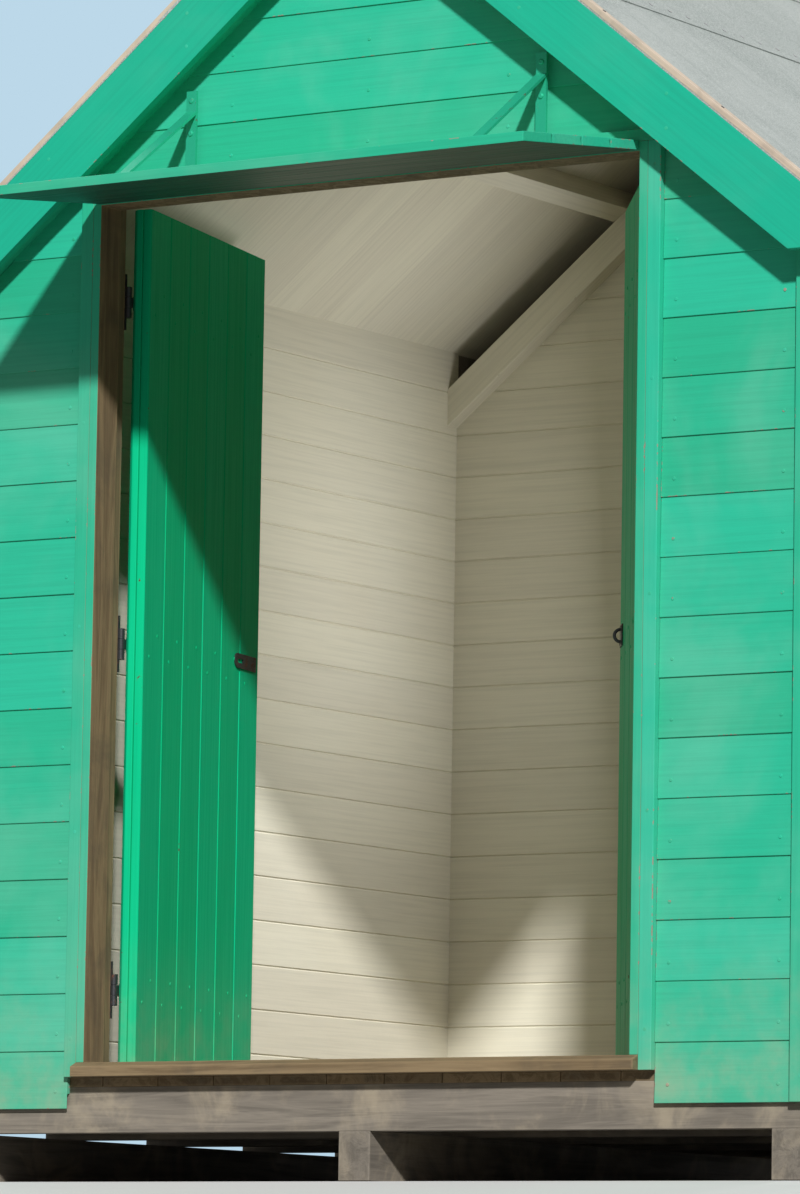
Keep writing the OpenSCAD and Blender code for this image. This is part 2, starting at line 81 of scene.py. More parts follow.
# How near two places must be to count as one, and the gap that parts the separate parts of a node
NEAR = 1e-4
PART_GAP = 0.2

# The photograph's frame, and the camera that was fitted to it
PHOTO_H = 1194
FOCAL_PX = 6511.35
SENSOR_H = 24.0
CAMERA_PLACE = Vector((7.256, -11.810, -0.356))
CAMERA_YAW = math.radians(33.0)
CAMERA_RISE = math.radians(6.672)
CAMERA_ROLL = math.radians(-0.909)
CAMERA_REACH = 500

# Levels and planes of the frame
DECK_LOW, DECK_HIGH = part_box("floor_deck")
POST_LOW, POST_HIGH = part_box("door_post_right")
HEAD_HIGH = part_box("door_head")[1]
CORNER_LOW, CORNER_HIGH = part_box("corner_boards")
ROOF_LOW, ROOF_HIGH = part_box("roof_boards_right")
FELT_LOW, FELT_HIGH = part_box("felt_right")
PACKER_LOW, PACKER_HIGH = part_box("barge_packers_front")
FRONT_Y = DECK_LOW.y
BACK_Y = DECK_HIGH.y
HALF_W = DECK_HIGH.x
WALL_T = POST_HIGH.y - FRONT_Y
APEX_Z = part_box("front_gable")[1].z
SLOPE = (APEX_Z - ROOF_LOW.z) / ROOF_HIGH.x
PITCH = math.atan(SLOPE)
ROOF_RISE = ROOF_HIGH.z - APEX_Z
PACKER_DROP = APEX_Z - SLOPE * PACKER_HIGH.x - PACKER_LOW.z


def roof_z(x, above=0.0):
    """Height of the roof boards' underside, or of a plane a plumb distance above it."""
    return APEX_Z - abs(x) * SLOPE + above


def corner_edge(axis, face_axis, face_value):
    """Inner edge of the corner boards on the face that lies at a value of one axis."""
    found = [
        v.co[axis]
        for v in NODES["corner_boards"].data.vertices
        if abs(v.co[face_axis] - face_value) < NEAR and v.co.x > 0 and v.co.y < 0
    ]
    return min(found) if axis == 0 else max(found)


CLAD_BASE = CORNER_LOW.z
FLOOR_Z = DECK_HIGH.z
REBATE_SLOPE = 0.002
SLOT_DROP = APEX_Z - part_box("back_wall")[1].z
CORNER_X = corner_edge(0, 1, CORNER_LOW.y)
CORNER_Y = corner_edge(1, 0, CORNER_HIGH.x)

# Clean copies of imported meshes: the distance at which points merge, and the bend that counts as flat
MERGE = 0.00002
FLAT_BEND = math.radians(0.5)

# Eased edges: the least bend that is eased, its roundness, how many margins wide a face is at least to get
# one, and the share of the usual sizes that weatherboards and trim have
SHARP = math.radians(20)
ROUNDNESS = 0.6
MARGIN_FACES = 3
NARROW = 0.8

# A post's face looks away from the doorway where its normal times its place along X passes this
AWAY = 0.3

# How far a weatherboard may lean out of its wall and tip along its row, in degrees
LEAN = 0.25
WOBBLE = 0.03

# Felt: the steps of its sheets, the edge strip without ripples, and the strip that lies over a lap, in laps
LOWER_STEPS = (26, 44)
UPPER_STEPS = (24, 44)
CAP_STEPS = (6, 60)
CALM_EDGE = 0.08
LAP_REACH = 1.2

# Rows of nails: the margin before the first one, the margin after the last one and the gap between two
BARGE_ROW = (0.06, 0.10, 0.30)
CORNER_ROW = (0.05, 0.13, 0.36)
POST_ROW = (0.08, 0.05, 0.45)
STRIP_ROW = (0.05, 0.05, 0.25)

# Other places of nails: from the ends of boards and felt, under the roof, and across the bargeboards
BOARD_MARGIN = 0.03
RAKE_MARGIN = 0.02
FELT_MARGIN = 0.04
CORNER_STAGGER = 0.02
BARGE_STEPS = (-0.035, 0.035)

# Rows of clout nails: in from the edge of the lap or cap, and up, in thicknesses of the felt
LAP_ROW = (0.025, 2.2)
CAP_ROW = (0.02, 2.1)

# Nails across a floor board and a door board, as shares of its width. A door's nails also have a step up
# from their ledge's middle, as a share of the ledge's width.
FLOOR_NAILS = (0.25, 0.75)
DOOR_NAILS = ((0.3, -0.25), (0.7, 0.25))

# Screws and bolts: shares of a strap's length, steps from a plate's middle, and insets from an edge
STRAP_SHARES = (0.12, 0.36, 0.62, 0.92)
PLATE_STEPS = (-0.048, -0.016, 0.016, 0.048)
BOLT_STEPS = (-0.052, 0.052)
PLATE_INSET = 0.010
HASP_INSETS = (0.010, 0.030)
LOCK_INSET = 0.007
LEG_DROPS = (0.02, 0.09)
ARM_REACHES = (0.05, 0.20, 0.315)

# Heads: their sides, how much of the height is domed, and the sizes of some kinds beside the usual ones. A
# clout's height is a share of its radius. Nails stay so many radii above a bargeboard's foot.
NAIL_SIDES = 10
SCREW_SIDES = 12
DOME = 0.8
CLOUT_HEIGHT = 0.12
FLOOR_NAIL_HEIGHT = 0.5
LOCK_SCREW = 0.8
BOLT_RADIUS = 1.3
BOLT_HEIGHT = 2.5
FOOT_RADII = 3

# The floor of the stage: its size and steps, how much finer its middle is, and how it falls away
GROUND_HALF = 60.0
GROUND_STEPS = 240
GROUND_POWER = 2.2
GROUND_LEVEL = 0.04
GROUND_DROP = 1.2
GROUND_FALL = 0.09

# Lights: azimuth to the right of the doorway and elevation, in degrees, and the fill's angle in radians
KEY_FROM = (35, 31)
FILL_FROM = (205, 35)
FILL_SPAN = 1.2

# The lamp inside: its sizes, its place and the direction of its back, fitted to the photograph's tones
INSIDE_SIZE = (0.5, 0.9)
INSIDE_PLACE = (-0.10, BACK_Y - WALL_T - 0.36, FLOOR_Z + 1.20)
INSIDE_BACK = (0.64, 0.77, 0.04)


# Sizes and colours that a user would change


def length(name, description, default):
    return FloatProperty(name=name, description=description, default=default, unit="LENGTH", min=0.0)


def number(name, description, default):
    return IntProperty(name=name, description=description, default=default, min=2, max=9)


def colour(name, description, default):
    return FloatVectorProperty(
        name=name, description=description, default=default, subtype="COLOR", size=3, min=0.0, max=1.0
    )


def share(name, description, default):
    return FloatProperty(
        name=name, description=description, default=default, subtype="FACTOR", min=0.0, max=1.0
    )


class HutBoards(bpy.types.PropertyGroup):
    """Sizes of the boards that cover the hut"""

    exposure: length("Exposure", "Height of each weatherboard that shows on the walls", 0.120)
    gable_exposure: length("Gable exposure", "Height of each weatherboard that shows on the gables", 0.1067)
    lap: length("Lap", "Height of a weatherboard that the next one covers", 0.030)
    butt_out: length("Butt reach", "Distance of a weatherboard's lower edge from the wall frame", 0.0120)
    butt: length("Butt", "Thickness of a weatherboard's lower edge, in front of its rebate", 0.0030)
    feather: length("Upper edge", "Thickness of a weatherboard's upper edge", 0.0080)
    lining_w: length("Lining width", "Width of the lining boards", 0.100)
    lining_t: length("Lining relief", "Height of the lining boards over the bottom of their joints", 0.003)
    roof_w: length("Roof board width", "Width of the roof boards", 0.1212)
    floor_w: length("Floor board width", "Width of the floor boards", 0.1393)
    joint: length("Joint", "Gap between floor boards", 0.0015)
    vee: length("V joint", "Width of the chamfers along matched boards", 0.0028)
    edge: length("Eased edge", "Radius of the eased timber edges", 0.0015)
    margin: length("Worn margin", "Width of the strip along an edge where paint wears", 0.005)
    door_n: number("Door boards", "Number of boards in each door", 6)
    hood_n: number("Hood boards", "Number of boards in the hood", 4)
    stile: length("Stile", "Width of the doors' upright frame timbers", 0.070)
    stile_ease: length("Stile slope", "Width of the slope that clears the hinges on a stile's edge", 0.008)
    ledge: length("Ledge", "Width of the doors' level frame timbers", 0.095)
    brace: length("Brace", "Width of the doors' braces", 0.085)


class HutFelt(bpy.types.PropertyGroup):
    """Sizes of the felt and its nails"""

    thickness: length("Thickness", "Thickness of the felt", 0.003)
    course: length("Course", "Slope length from the eaves that the lower course shows", 0.930)
    lap: length("Lap", "Slope length by which the upper course covers the lower one", 0.080)
    lip: length("Lip", "Depth that the felt turns down at the eaves", 0.026)
    ripple: length("Ripple", "Height of the ripples in the felt", 0.0012)
    nail: length("Nail radius", "Radius of the clout nails' heads", 0.0055)
    spacing: length("Nail spacing", "Distance between clout nails", 0.075)


class HutNails(bpy.types.PropertyGroup):
    """Sizes of the nails, screws and bolts in the timber"""

    board: length("Board nail", "Radius of the nail heads in the boards", 0.0038)
    trim: length("Trim nail", "Radius of the nail heads in the trim", 0.0042)
    screw: length("Screw", "Radius of the screw heads in the ironwork", 0.0048)
    height: length("Height", "Height of the nail heads", 0.0012)
    sink: share("Sink", "Share of a trim nail's head that is driven into the timber", 0.70)
    strap: length("Strap", "Thickness of the hinge straps and plates", 0.004)
    plate: length("Plate", "Thickness of the hasp, staple and bolt plates", 0.003)
    bracket: length("Bracket", "Thickness of the hood brackets' strip", 0.006)
    stud: length("Stud spacing", "Distance between the studs that the weatherboards are nailed to", 0.37)
    above: length("Height over the lap", "Height of a nail above its board's lower edge", 0.036)


class HutColours(bpy.types.PropertyGroup):
    """Paint, timber, felt and iron colours"""

    green: colour("Green paint", "Paint of the walls and trim", (0.026, 0.480, 0.290))
    trim: colour("Trim paint", "Paint of the bargeboards", (0.012, 0.425, 0.262))
    door: colour("Door paint", "Paint of the doors", (0.003, 0.530, 0.235))
    cream: colour("Cream paint", "Paint of the inside", (0.730, 0.690, 0.560))
    wood: colour("Bare timber", "Browned bare softwood", (0.120, 0.078, 0.036))
    wood_light: colour("Fresh timber", "Paler bare softwood", (0.300, 0.215, 0.115))
    grey: colour("Silvered timber", "Weathered softwood", (0.270, 0.235, 0.190))
    pale: colour("Pale timber", "Sun-bleached softwood", (0.600, 0.490, 0.380))
    primer: colour("Primer", "Old primer that shows where paint has worn", (0.330, 0.300, 0.235))
    felt: colour("Felt", "Mineral face of the felt", (0.375, 0.440, 0.425))
    iron: colour("Iron", "Black finish of the ironwork", (0.035, 0.037, 0.040))
    zinc: colour("Zinc", "Dull coat of the felt nails", (0.300, 0.310, 0.315))
    rust: colour("Rust", "Rust on the ironwork", (0.230, 0.080, 0.025))
    dust: colour("Dust", "Sand and dust near the ground", (0.480, 0.400, 0.280))
    ground: colour("Ground", "Plain pale floor", (0.700, 0.700, 0.690))
    bounce: colour("Ground bounce", "Tone by which the floor lights the hut", (0.250, 0.238, 0.213))
    sky: colour("Background", "Plain pale background", (0.503, 0.686, 0.815))


class HutWear(bpy.types.PropertyGroup):
    """How worn the finishes are"""

    paint: share("Paint wear", "Share of the edges where paint has gone", 0.30)
    fade: share("Fading", "Chalking of the paint in the sun", 0.22)
    dust: share("Dust", "Dust near the ground", 0.45)
    rust: share("Rust", "Rust on the ironwork", 0.35)


class HutLights(bpy.types.PropertyGroup):
    """Strengths of the lights"""

    sun: FloatProperty(name="Key", description="Strength of the key light", default=3.85, min=0.0)
    fill: FloatProperty(name="Fill", description="Strength of the light from behind", default=1.3, min=0.0)
    world: FloatProperty(name="Surroundings", description="Strength of the light from all round", default=0.19)
    inside: FloatProperty(name="Inside", description="Power of the lamp inside the hut, in watts", default=7.4)
    softness: FloatProperty(
        name="Softness", description="Angle that the key light spans", default=math.radians(3), subtype="ANGLE"
    )


# Modelling helpers


def only(piece):
    """Makes one object the only selected one."""
    bpy.ops.object.select_all(action="DESELECT")
    piece.select_set(True)
    bpy.context.view_layer.objects.active = piece


def added(name, add, **values):
    """Adds an object with an operator and names it."""
    bpy.ops.object.select_all(action="DESELECT")
    add(**values)
    piece = bpy.context.active_object
    piece.name = name
    return piece


def block(name, low, high):
    """A block between two corners, its place in its mesh."""
    low, high = Vector(low), Vector(high)
    piece = added(name, bpy.ops.mesh.primitive_cube_add, size=1, location=(low + high) / 2)
    piece.scale = high - low
    bpy.ops.object.transform_apply(location=True, rotation=True, scale=True)
    return piece


def pick(piece, kind, test):
    """In edit mode, selects the vertices, edges or faces that pass a test."""
    bpy.ops.mesh.select_mode(type=kind)
    bpy.ops.mesh.select_all(action="DESELECT")
    shape = bmesh.from_edit_mesh(piece.data)
    for part in {"VERT": shape.verts, "EDGE": shape.edges, "FACE": shape.faces}[kind]:
        if test(part):
            part.select_set(True)
    bmesh.update_edit_mesh(piece.data)


def edit(piece):
    """Opens one piece for editing."""
    only(piece)
    bpy.ops.object.mode_set(mode="EDIT")


def edit_all(piece, kind="VERT"):
    """Opens one piece for editing, with all of it selected."""
    edit(piece)
    bpy.ops.mesh.select_mode(type=kind)
    bpy.ops.mesh.select_all(action="SELECT")


def done():
    """Closes the piece that is open for editing."""
    bpy.ops.object.mode_set(mode="OBJECT")


def shift(piece, test, move):
    """Moves the vertices that pass a test."""
    edit(piece)
    pick(piece, "VERT", lambda v: test(v.co))
    bpy.ops.transform.translate(value=move)
    done()


def chamfer(piece, test, width):
    """Cuts a flat chamfer along the edges that pass a test."""
    edit(piece)
    pick(piece, "EDGE", test)
    bpy.ops.mesh.bevel(offset=width, segments=1, affect="EDGES")
    done()


def along(axis, test=lambda middle: True):
    """A test for straight edges that run along one axis, with a test for their middles."""
    def passes(edge):
        a, b = (v.co for v in edge.verts)
        run = b - a
        return abs(run[axis]) > 0.9 * run.length and test((a + b) / 2)
    return passes


def mark_edges(piece):
    """Stores where paint wears first: 1 along the edges and 0 on the flat faces."""
    mesh = piece.data
    first = [None] * len(mesh.vertices)
    flat = [1.0] * len(mesh.vertices)
    for face in mesh.polygons:
        for index in face.vertices:
            if first[index] is None:
                first[index] = face.normal.copy()
            flat[index] = min(flat[index], first[index].dot(face.normal))
    worn = mesh.attributes.new("worn", "FLOAT", "POINT")
    worn.data.foreach_set("value", [0.0 if value > 0.999 else 1.0 for value in flat])


def face_width(face):
    """About the least width of a face."""
    return face.calc_area() / max(edge.calc_length() for edge in face.edges)


def ease(piece, edge, margin):
    """Rounds a timber's edges and leaves a narrow strip along them for the wear."""
    edit(piece)
    bpy.ops.mesh.select_mode(type="EDGE")
    bpy.ops.mesh.select_all(action="DESELECT")
    bpy.ops.mesh.edges_select_sharp(sharpness=SHARP)
    bpy.ops.mesh.bevel(offset=edge, segments=2, profile=ROUNDNESS, affect="EDGES")
    pick(piece, "FACE", lambda face: face_width(face) > MARGIN_FACES * margin)
    bpy.ops.mesh.inset(thickness=margin, depth=0, use_individual=True, use_even_offset=True)
    done()
    mark_edges(piece)


def fill_value(mesh, name, value):
    """Gives every vertex of a mesh the same value of an attribute."""
    attribute = mesh.attributes.get(name) or mesh.attributes.new(name, "FLOAT", "POINT")
    attribute.data.foreach_set("value", [value] * len(mesh.vertices))


def copies(name, source, places, seed):
    """Copies of one piece, moved by their matrices, each with its own tint, joined into one piece."""
    chance = random.Random(seed)
    made = []
    for place in places:
        mesh = source.data.copy()
        mesh.transform(place)
        fill_value(mesh, "board", chance.random())
        copy = bpy.data.objects.new(name, mesh)
        bpy.context.scene.collection.objects.link(copy)
        made.append(copy)
    bpy.data.objects.remove(source)
    return join(name, made)


def join(name, parts):
    """Joins parts into one piece."""
    bpy.ops.object.select_all(action="DESELECT")
    for part in parts:
        part.select_set(True)
    bpy.context.view_layer.objects.active = parts[0]
    if len(parts) > 1:
        bpy.ops.object.join()
    parts[0].name = name
    parts[0].data.name = name
    return parts[0]


def cut(piece, point, normal, drop=True):
    """Cuts a piece along a plane. Either drops what lies beyond and closes the cut, or only adds edges."""
    edit_all(piece, "FACE")
    bpy.ops.mesh.bisect(plane_co=point, plane_no=normal, use_fill=drop, clear_outer=drop)
    done()


def cut_under_roof(piece, above):
    """Cuts a piece off along both slopes, at a plumb distance above the roof boards' underside."""
    for side in SIDES.values():
        cut(piece, (0, 0, roof_z(0, above)), (side * SLOPE, 0, 1))


def place_mesh(piece, matrix):
    """Moves a piece's mesh and leaves its object at the origin."""
    piece.data.transform(matrix)
    piece.data.update()


def node_copy(node, name):
    """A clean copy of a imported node's mesh, with whole flat faces."""
    source = NODES[node]
    piece = bpy.data.objects.new(name, source.data.copy())
    bpy.context.scene.collection.objects.link(piece)
    edit_all(piece)
    bpy.ops.mesh.remove_doubles(threshold=MERGE)
    bpy.ops.mesh.dissolve_limited(angle_limit=FLAT_BEND)
    done()
    return piece


def coat(piece, material):
    """Gives a piece one material all over."""
    piece.data.materials.clear()
    piece.data.materials.append(material)


def coat_faces(piece, material, test):
    """Gives a second material to the faces that pass a test."""
    piece.data.materials.append(material)
    for face in piece.data.polygons:
        if test(face):
            face.material_index = len(piece.data.materials) - 1


def finish(piece, body, material=None, replaced=()):
    """Gives a new piece its material and body, and hides the nodes that it stands for."""
    if material:
        coat(piece, material)
    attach(piece, body)
    if replaced:
        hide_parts(*replaced)


def turned(place, angle):
    """A matrix that turns about Z and then moves."""
    return Matrix.Translation(Vector(place)) @ Matrix.Rotation(angle, 4, "Z")


def extent(points):
    """Lower and upper corner of the box around a list of points."""
    low = Vector(min(point[i] for point in points) for i in range(3))
    high = Vector(max(point[i] for point in points) for i in range(3))
    return low, high


def parts_of(whole, wanted):
    """How many equal parts of about a wanted size fill a length, and their size."""
    count = round(whole / wanted)
    return count, whole / count


def looks(face, direction):
    """Whether a face looks about in a direction."""
    return face.normal.dot(Vector(direction)) > 0.7


# Pieces that the lamp inside lights
INSIDE = ("lining_", "roof_planks_", "ridge_board_", "purlins_", "back_rafters_", "floor_boards")

# The four walls: where a piece that faces -Y at y = 0 goes, by the side it ends up on
QUARTER = math.pi / 2
FACING = {"front": 0.0, "right": QUARTER, "back": 2 * QUARTER, "left": -QUARTER}


def wall_run(wall):
    """The axis along which a wall's boards run."""
    return "x" if wall in ("front", "back") else "y"


# Doors, worked out closed and swung to where the frame holds them


def swing(hinge, angle_deg):
    """Turns about a door's pins by an angle of its joint."""
    joint = HINGES[hinge]
    pin = Vector(joint["pos_m"])
    turn = Matrix.Rotation(math.radians(angle_deg), 4, Vector(joint["axis"]))
    return Matrix.Translation(pin) @ turn @ Matrix.Translation(-pin)


def closing(side):
    """Brings a door from its place in the frame to its closed place."""
    hinge = side + "_door_hinge"
    return swing(hinge, HINGES[hinge]["range_deg"][0])


def closed_box(node, side):
    """Corners of a door's node with the door closed."""
    close = closing(side)
    return extent([close @ v.co for v in NODES[node].data.vertices])


# Node groups that more than one material uses


def add_node(tree, kind, **values):
    """A shader node with its settings, and inputs by name."""
    node = tree.nodes.new(kind)
    for key, value in values.items():
        if key in node.inputs:
            node.inputs[key].default_value = value
        else:
            setattr(node, key, value)
    return node


def math_node(tree, operation, first, second, clamp=False):
    """A Math node fed by links or numbers, and its output."""
    node = add_node(tree, "ShaderNodeMath", operation=operation, use_clamp=clamp)
    for index, value in enumerate((first, second)):
        if isinstance(value, (int, float)):
            node.inputs[index].default_value = value
        else:
            tree.links.new(value, node.inputs[index])
    return node.outputs[0]


def mix_node(tree, factor, first, second):
    """A colour mix fed by links, colours or numbers, and its output."""
    node = add_node(tree, "ShaderNodeMix", data_type="RGBA")
    for socket, value in ((node.inputs[0], factor), (node.inputs[6], first), (node.inputs[7], second)):
        if isinstance(value, bpy.types.NodeSocket):
            tree.links.new(value, socket)
        elif isinstance(value, (int, float)):
            socket.default_value = value
        else:
            socket.default_value = (*value, 1.0)
    return node.outputs[2]


def band_node(tree, value, low, high, low_to=0.0, high_to=1.0):
    """A smooth step of a value between two limits, and its output."""
    node = add_node(tree, "ShaderNodeMapRange", interpolation_type="SMOOTHSTEP")
    tree.links.new(value, node.inputs["Value"])
    for key, limit in (("From Min", low), ("From Max", high), ("To Min", low_to), ("To Max", high_to)):
        node.inputs[key].default_value = limit
    return node.outputs["Result"]


def noise_node(tree, vector, scale, detail=3.0, roughness=0.55, distortion=0.0):
    """A noise's value, on given coordinates."""
    node = add_node(tree, "ShaderNodeTexNoise", Scale=scale, Detail=detail)
    node.inputs["Roughness"].default_value = roughness
    node.inputs["Distortion"].default_value = distortion
    tree.links.new(vector, node.inputs["Vector"])
    return node.outputs["Fac"]


def stretched(tree, vector, scale):
    """Coordinates stretched along each axis."""
    node = add_node(tree, "ShaderNodeMapping", Scale=scale)
    tree.links.new(vector, node.inputs["Vector"])
    return node.outputs[0]


def plus(tree, base, value, part, clamp=False):
    """Adds a part of one value to another."""
    return math_node(tree, "ADD", base, math_node(tree, "MULTIPLY", value, part), clamp)


def stored(tree, name):
    """A value that the pieces store on their vertices."""
    return add_node(tree, "ShaderNodeAttribute", attribute_name=name).outputs["Fac"]


def feed(tree, node, values):
    """Links outputs to a node's inputs by name."""
    for label, value in values.items():
        tree.links.new(value, node.inputs[label])


def use_group(tree, group, links, values=None):
    """A node of a group, with some inputs linked and some set."""
    node = tree.nodes.new("ShaderNodeGroup")
    node.node_tree = group
    feed(tree, node, links)
    for label, value in (values or {}).items():
        node.inputs[label].default_value = value
    return node


def new_group(name, inputs, outputs):
    """An empty node group with named inputs and outputs."""
    group = bpy.data.node_groups.new(name, "ShaderNodeTree")
    for label, kind, default in inputs:
        socket = group.interface.new_socket(name=label, in_out="INPUT", socket_type=kind)
        if default is not None:
            socket.default_value = default
    for label, kind in outputs:
        group.interface.new_socket(name=label, in_out="OUTPUT", socket_type=kind)
    return group, group.nodes.new("NodeGroupInput"), group.nodes.new("NodeGroupOutput")


FLOAT = "NodeSocketFloat"
COLOUR = "NodeSocketColor"
VECTOR = "NodeSocketVector"
FINISH_OUTPUTS = [("Color", COLOUR), ("Roughness", FLOAT), ("Height", FLOAT)]

# How often each noise repeats in a metre, along a timber, across it and through it
FIGURE_STRETCH = (1.6, 26.0, 26.0)
FIBRE_STRETCH = (9.0, 420.0, 420.0)
BRUSH_STRETCH = (3.0, 130.0, 130.0)
STREAK_STRETCH = (1.5, 26.0, 1.5)
RINGS = 7.0


def grain_group():
    """Wood grain that runs along X of its coordinates, in metres."""
    group, given, out = new_group(
        "Wood grain", [("Vector", VECTOR, None)], [("Figure", FLOAT), ("Fibre", FLOAT), ("Height", FLOAT)]
    )
    vector = given.outputs["Vector"]
    figure = noise_node(group, stretched(group, vector, FIGURE_STRETCH), 1.0, 4.0, 0.6, 0.9)
    rings = math_node(group, "PINGPONG", math_node(group, "MULTIPLY", figure, RINGS), 1.0)
    fibre = noise_node(group, stretched(group, vector, FIBRE_STRETCH), 1.0, 2.0, 0.6)
    height = plus(group, math_node(group, "MULTIPLY", rings, 0.6), fibre, 0.4)
    feed(group, out, {"Figure": rings, "Fibre": fibre, "Height": height})
    return group


def paint_group(grain):
    """Brushed paint over timber: faded in patches, a little different on each board, worn along the edges."""
    group, given, out = new_group(
        "Brushed paint",
        [
            ("Grain vector", VECTOR, None), ("Object vector", VECTOR, None), ("Paint", COLOUR, (1, 1, 1, 1)),
            ("Timber", COLOUR, (0.5, 0.4, 0.3, 1)), ("Dust", COLOUR, (0.5, 0.4, 0.3, 1)), ("Wear", FLOAT, 0.3),
            ("Fading", FLOAT, 0.3), ("Dust amount", FLOAT, 0.3), ("Variation", FLOAT, 1.0),
        ],
        FINISH_OUTPUTS,
    )
    place = given.outputs["Object vector"]
    wood = use_group(group, grain, {"Vector": given.outputs["Grain vector"]})
    board, worn = stored(group, "board"), stored(group, "worn")
    shade = add_node(group, "ShaderNodeHueSaturation")
    group.links.new(given.outputs["Paint"], shade.inputs["Color"])
    for label, base, most in (("Hue", 0.5, 0.005), ("Value", 1.0, 0.06)):
        offset = band_node(group, board, 0.0, 1.0, -most, most)
        offset = math_node(group, "MULTIPLY", offset, given.outputs["Variation"])
        group.links.new(math_node(group, "ADD", offset, base), shade.inputs[label])
    patches = noise_node(group, place, 2.2, 4.0, 0.6, 0.4)
    chalk = math_node(group, "MULTIPLY", band_node(group, patches, 0.42, 0.72), given.outputs["Fading"])
    pale = mix_node(group, 0.30, shade.outputs[0], (0.85, 0.90, 0.86))
    faded = mix_node(group, chalk, shade.outputs[0], pale)
    brush = noise_node(group, stretched(group, given.outputs["Grain vector"], BRUSH_STRETCH), 1.0, 3.0, 0.6)
    deeper = mix_node(group, 0.5, faded, (0.0, 0.02, 0.02))
    streaked = mix_node(group, band_node(group, brush, 0.35, 0.75, 0.0, 0.20), faded, deeper)
    speck = noise_node(group, place, 85.0, 5.0, 0.65)
    blotch = noise_node(group, place, 9.0, 4.0, 0.6)
    edge_wear = math_node(group, "MULTIPLY", worn, math_node(group, "MULTIPLY", blotch, 0.62))
    loose = math_node(group, "ADD", math_node(group, "MULTIPLY", speck, 0.55), edge_wear)
    limit = math_node(group, "SUBTRACT", 0.76, math_node(group, "MULTIPLY", given.outputs["Wear"], 0.30))
    over = math_node(group, "SUBTRACT", loose, limit)
    chips = band_node(group, over, 0.0, 0.025)
    timber = given.outputs["Timber"]
    darker = mix_node(group, 0.5, timber, (0.10, 0.06, 0.03))
    bare_wood = mix_node(group, band_node(group, wood.outputs["Fibre"], 0.3, 0.7, 0.0, 0.6), timber, darker)
    chipped = mix_node(group, chips, streaked, bare_wood)
    height = add_node(group, "ShaderNodeSeparateXYZ")
    group.links.new(place, height.inputs[0])
    low = band_node(group, height.outputs["Z"], 0.10, 0.55, 1.0, 0.0)
    dust = math_node(group, "MULTIPLY", low, band_node(group, blotch, 0.35, 0.75, 0.15, 1.0))
    dust = math_node(group, "MULTIPLY", dust, given.outputs["Dust amount"])
    dusty = mix_node(group, dust, chipped, given.outputs["Dust"])
    rough = band_node(group, brush, 0.3, 0.7, 0.40, 0.54)
    rough = plus(group, rough, chalk, 0.35)
    rough = plus(group, rough, chips, 0.4)
    rough = plus(group, rough, dust, 0.3, clamp=True)
    relief = math_node(group, "MULTIPLY", wood.outputs["Fibre"], 0.20)
    relief = plus(group, relief, brush, 0.35)
    relief = plus(group, relief, noise_node(group, place, 14.0), 1.2)
    feed(group, out, {"Color": dusty, "Roughness": rough, "Height": relief})
    return group


def timber_group(grain):
    """Bare timber: grain between two tones, a little different on each board, stained and greyed in patches."""
    group, given, out = new_group(
        "Bare timber",
        [
            ("Grain vector", VECTOR, None), ("Object vector", VECTOR, None),
            ("Dark", COLOUR, (0.2, 0.1, 0.05, 1)), ("Light", COLOUR, (0.5, 0.4, 0.3, 1)),
            ("Stain", COLOUR, (0.1, 0.1, 0.1, 1)), ("Stain amount", FLOAT, 0.3),
        ],
        FINISH_OUTPUTS,
    )
    place = given.outputs["Object vector"]
    wood = use_group(group, grain, {"Vector": given.outputs["Grain vector"]})
    board, worn = stored(group, "board"), stored(group, "worn")
    tone = plus(group, math_node(group, "MULTIPLY", wood.outputs["Figure"], 0.55), wood.outputs["Fibre"], 0.45)
    grained = mix_node(group, tone, given.outputs["Dark"], given.outputs["Light"])
    shade = add_node(group, "ShaderNodeHueSaturation")
    group.links.new(grained, shade.inputs["Color"])
    group.links.new(band_node(group, board, 0.0, 1.0, 0.82, 1.16), shade.inputs["Value"])
    blotch = noise_node(group, place, 6.0, 5.0, 0.62, 0.5)
    stain = math_node(group, "MULTIPLY", band_node(group, blotch, 0.45, 0.68), given.outputs["Stain amount"])
    stained = mix_node(group, stain, shade.outputs[0], given.outputs["Stain"])
    rubbed = mix_node(group, math_node(group, "MULTIPLY", worn, 0.35), stained, given.outputs["Light"])
    rough = band_node(group, tone, 0.2, 0.8, 0.82, 0.66)
    feed(group, out, {"Color": rubbed, "Roughness": rough, "Height": wood.outputs["Height"]})
    return group


# Materials


def shared(name, build, *needs):
    """A node group, built once."""
    return bpy.data.node_groups.get(name) or build(*needs)


def base_material(name, bump, distance):
    """A material with its shader and a bump ready for a height."""
    material = bpy.data.materials.new(name)
    material.use_nodes = True
    tree = material.node_tree
    shader = tree.nodes["Principled BSDF"]
    relief = add_node(tree, "ShaderNodeBump", Strength=bump, Distance=distance)
    tree.links.new(relief.outputs["Normal"], shader.inputs["Normal"])
    place = add_node(tree, "ShaderNodeTexCoord").outputs["Object"]
    return material, tree, shader, relief, place


# Turns that bring the direction in which a timber's grain runs to X
RUNS = {
    "x": (0, 0, 0),
    "y": (0, 0, -QUARTER),
    "z": (0, QUARTER, 0),
    "slope_right": (0, -PITCH, 0),
    "slope_left": (0, PITCH, 0),
}


def grain_vector(tree, place, run):
    """Coordinates whose X runs along the timber. A run is a named one or turns about X, Y and Z."""
    turn = add_node(tree, "ShaderNodeMapping", Rotation=RUNS.get(run, run))
    tree.links.new(place, turn.inputs["Vector"])
    return turn.outputs[0]


# Specular level of paint that isn't set apart
PAINT_GLOSS = 0.25


def rgba(value):
    """A colour with its alpha."""
    return (*value, 1.0)


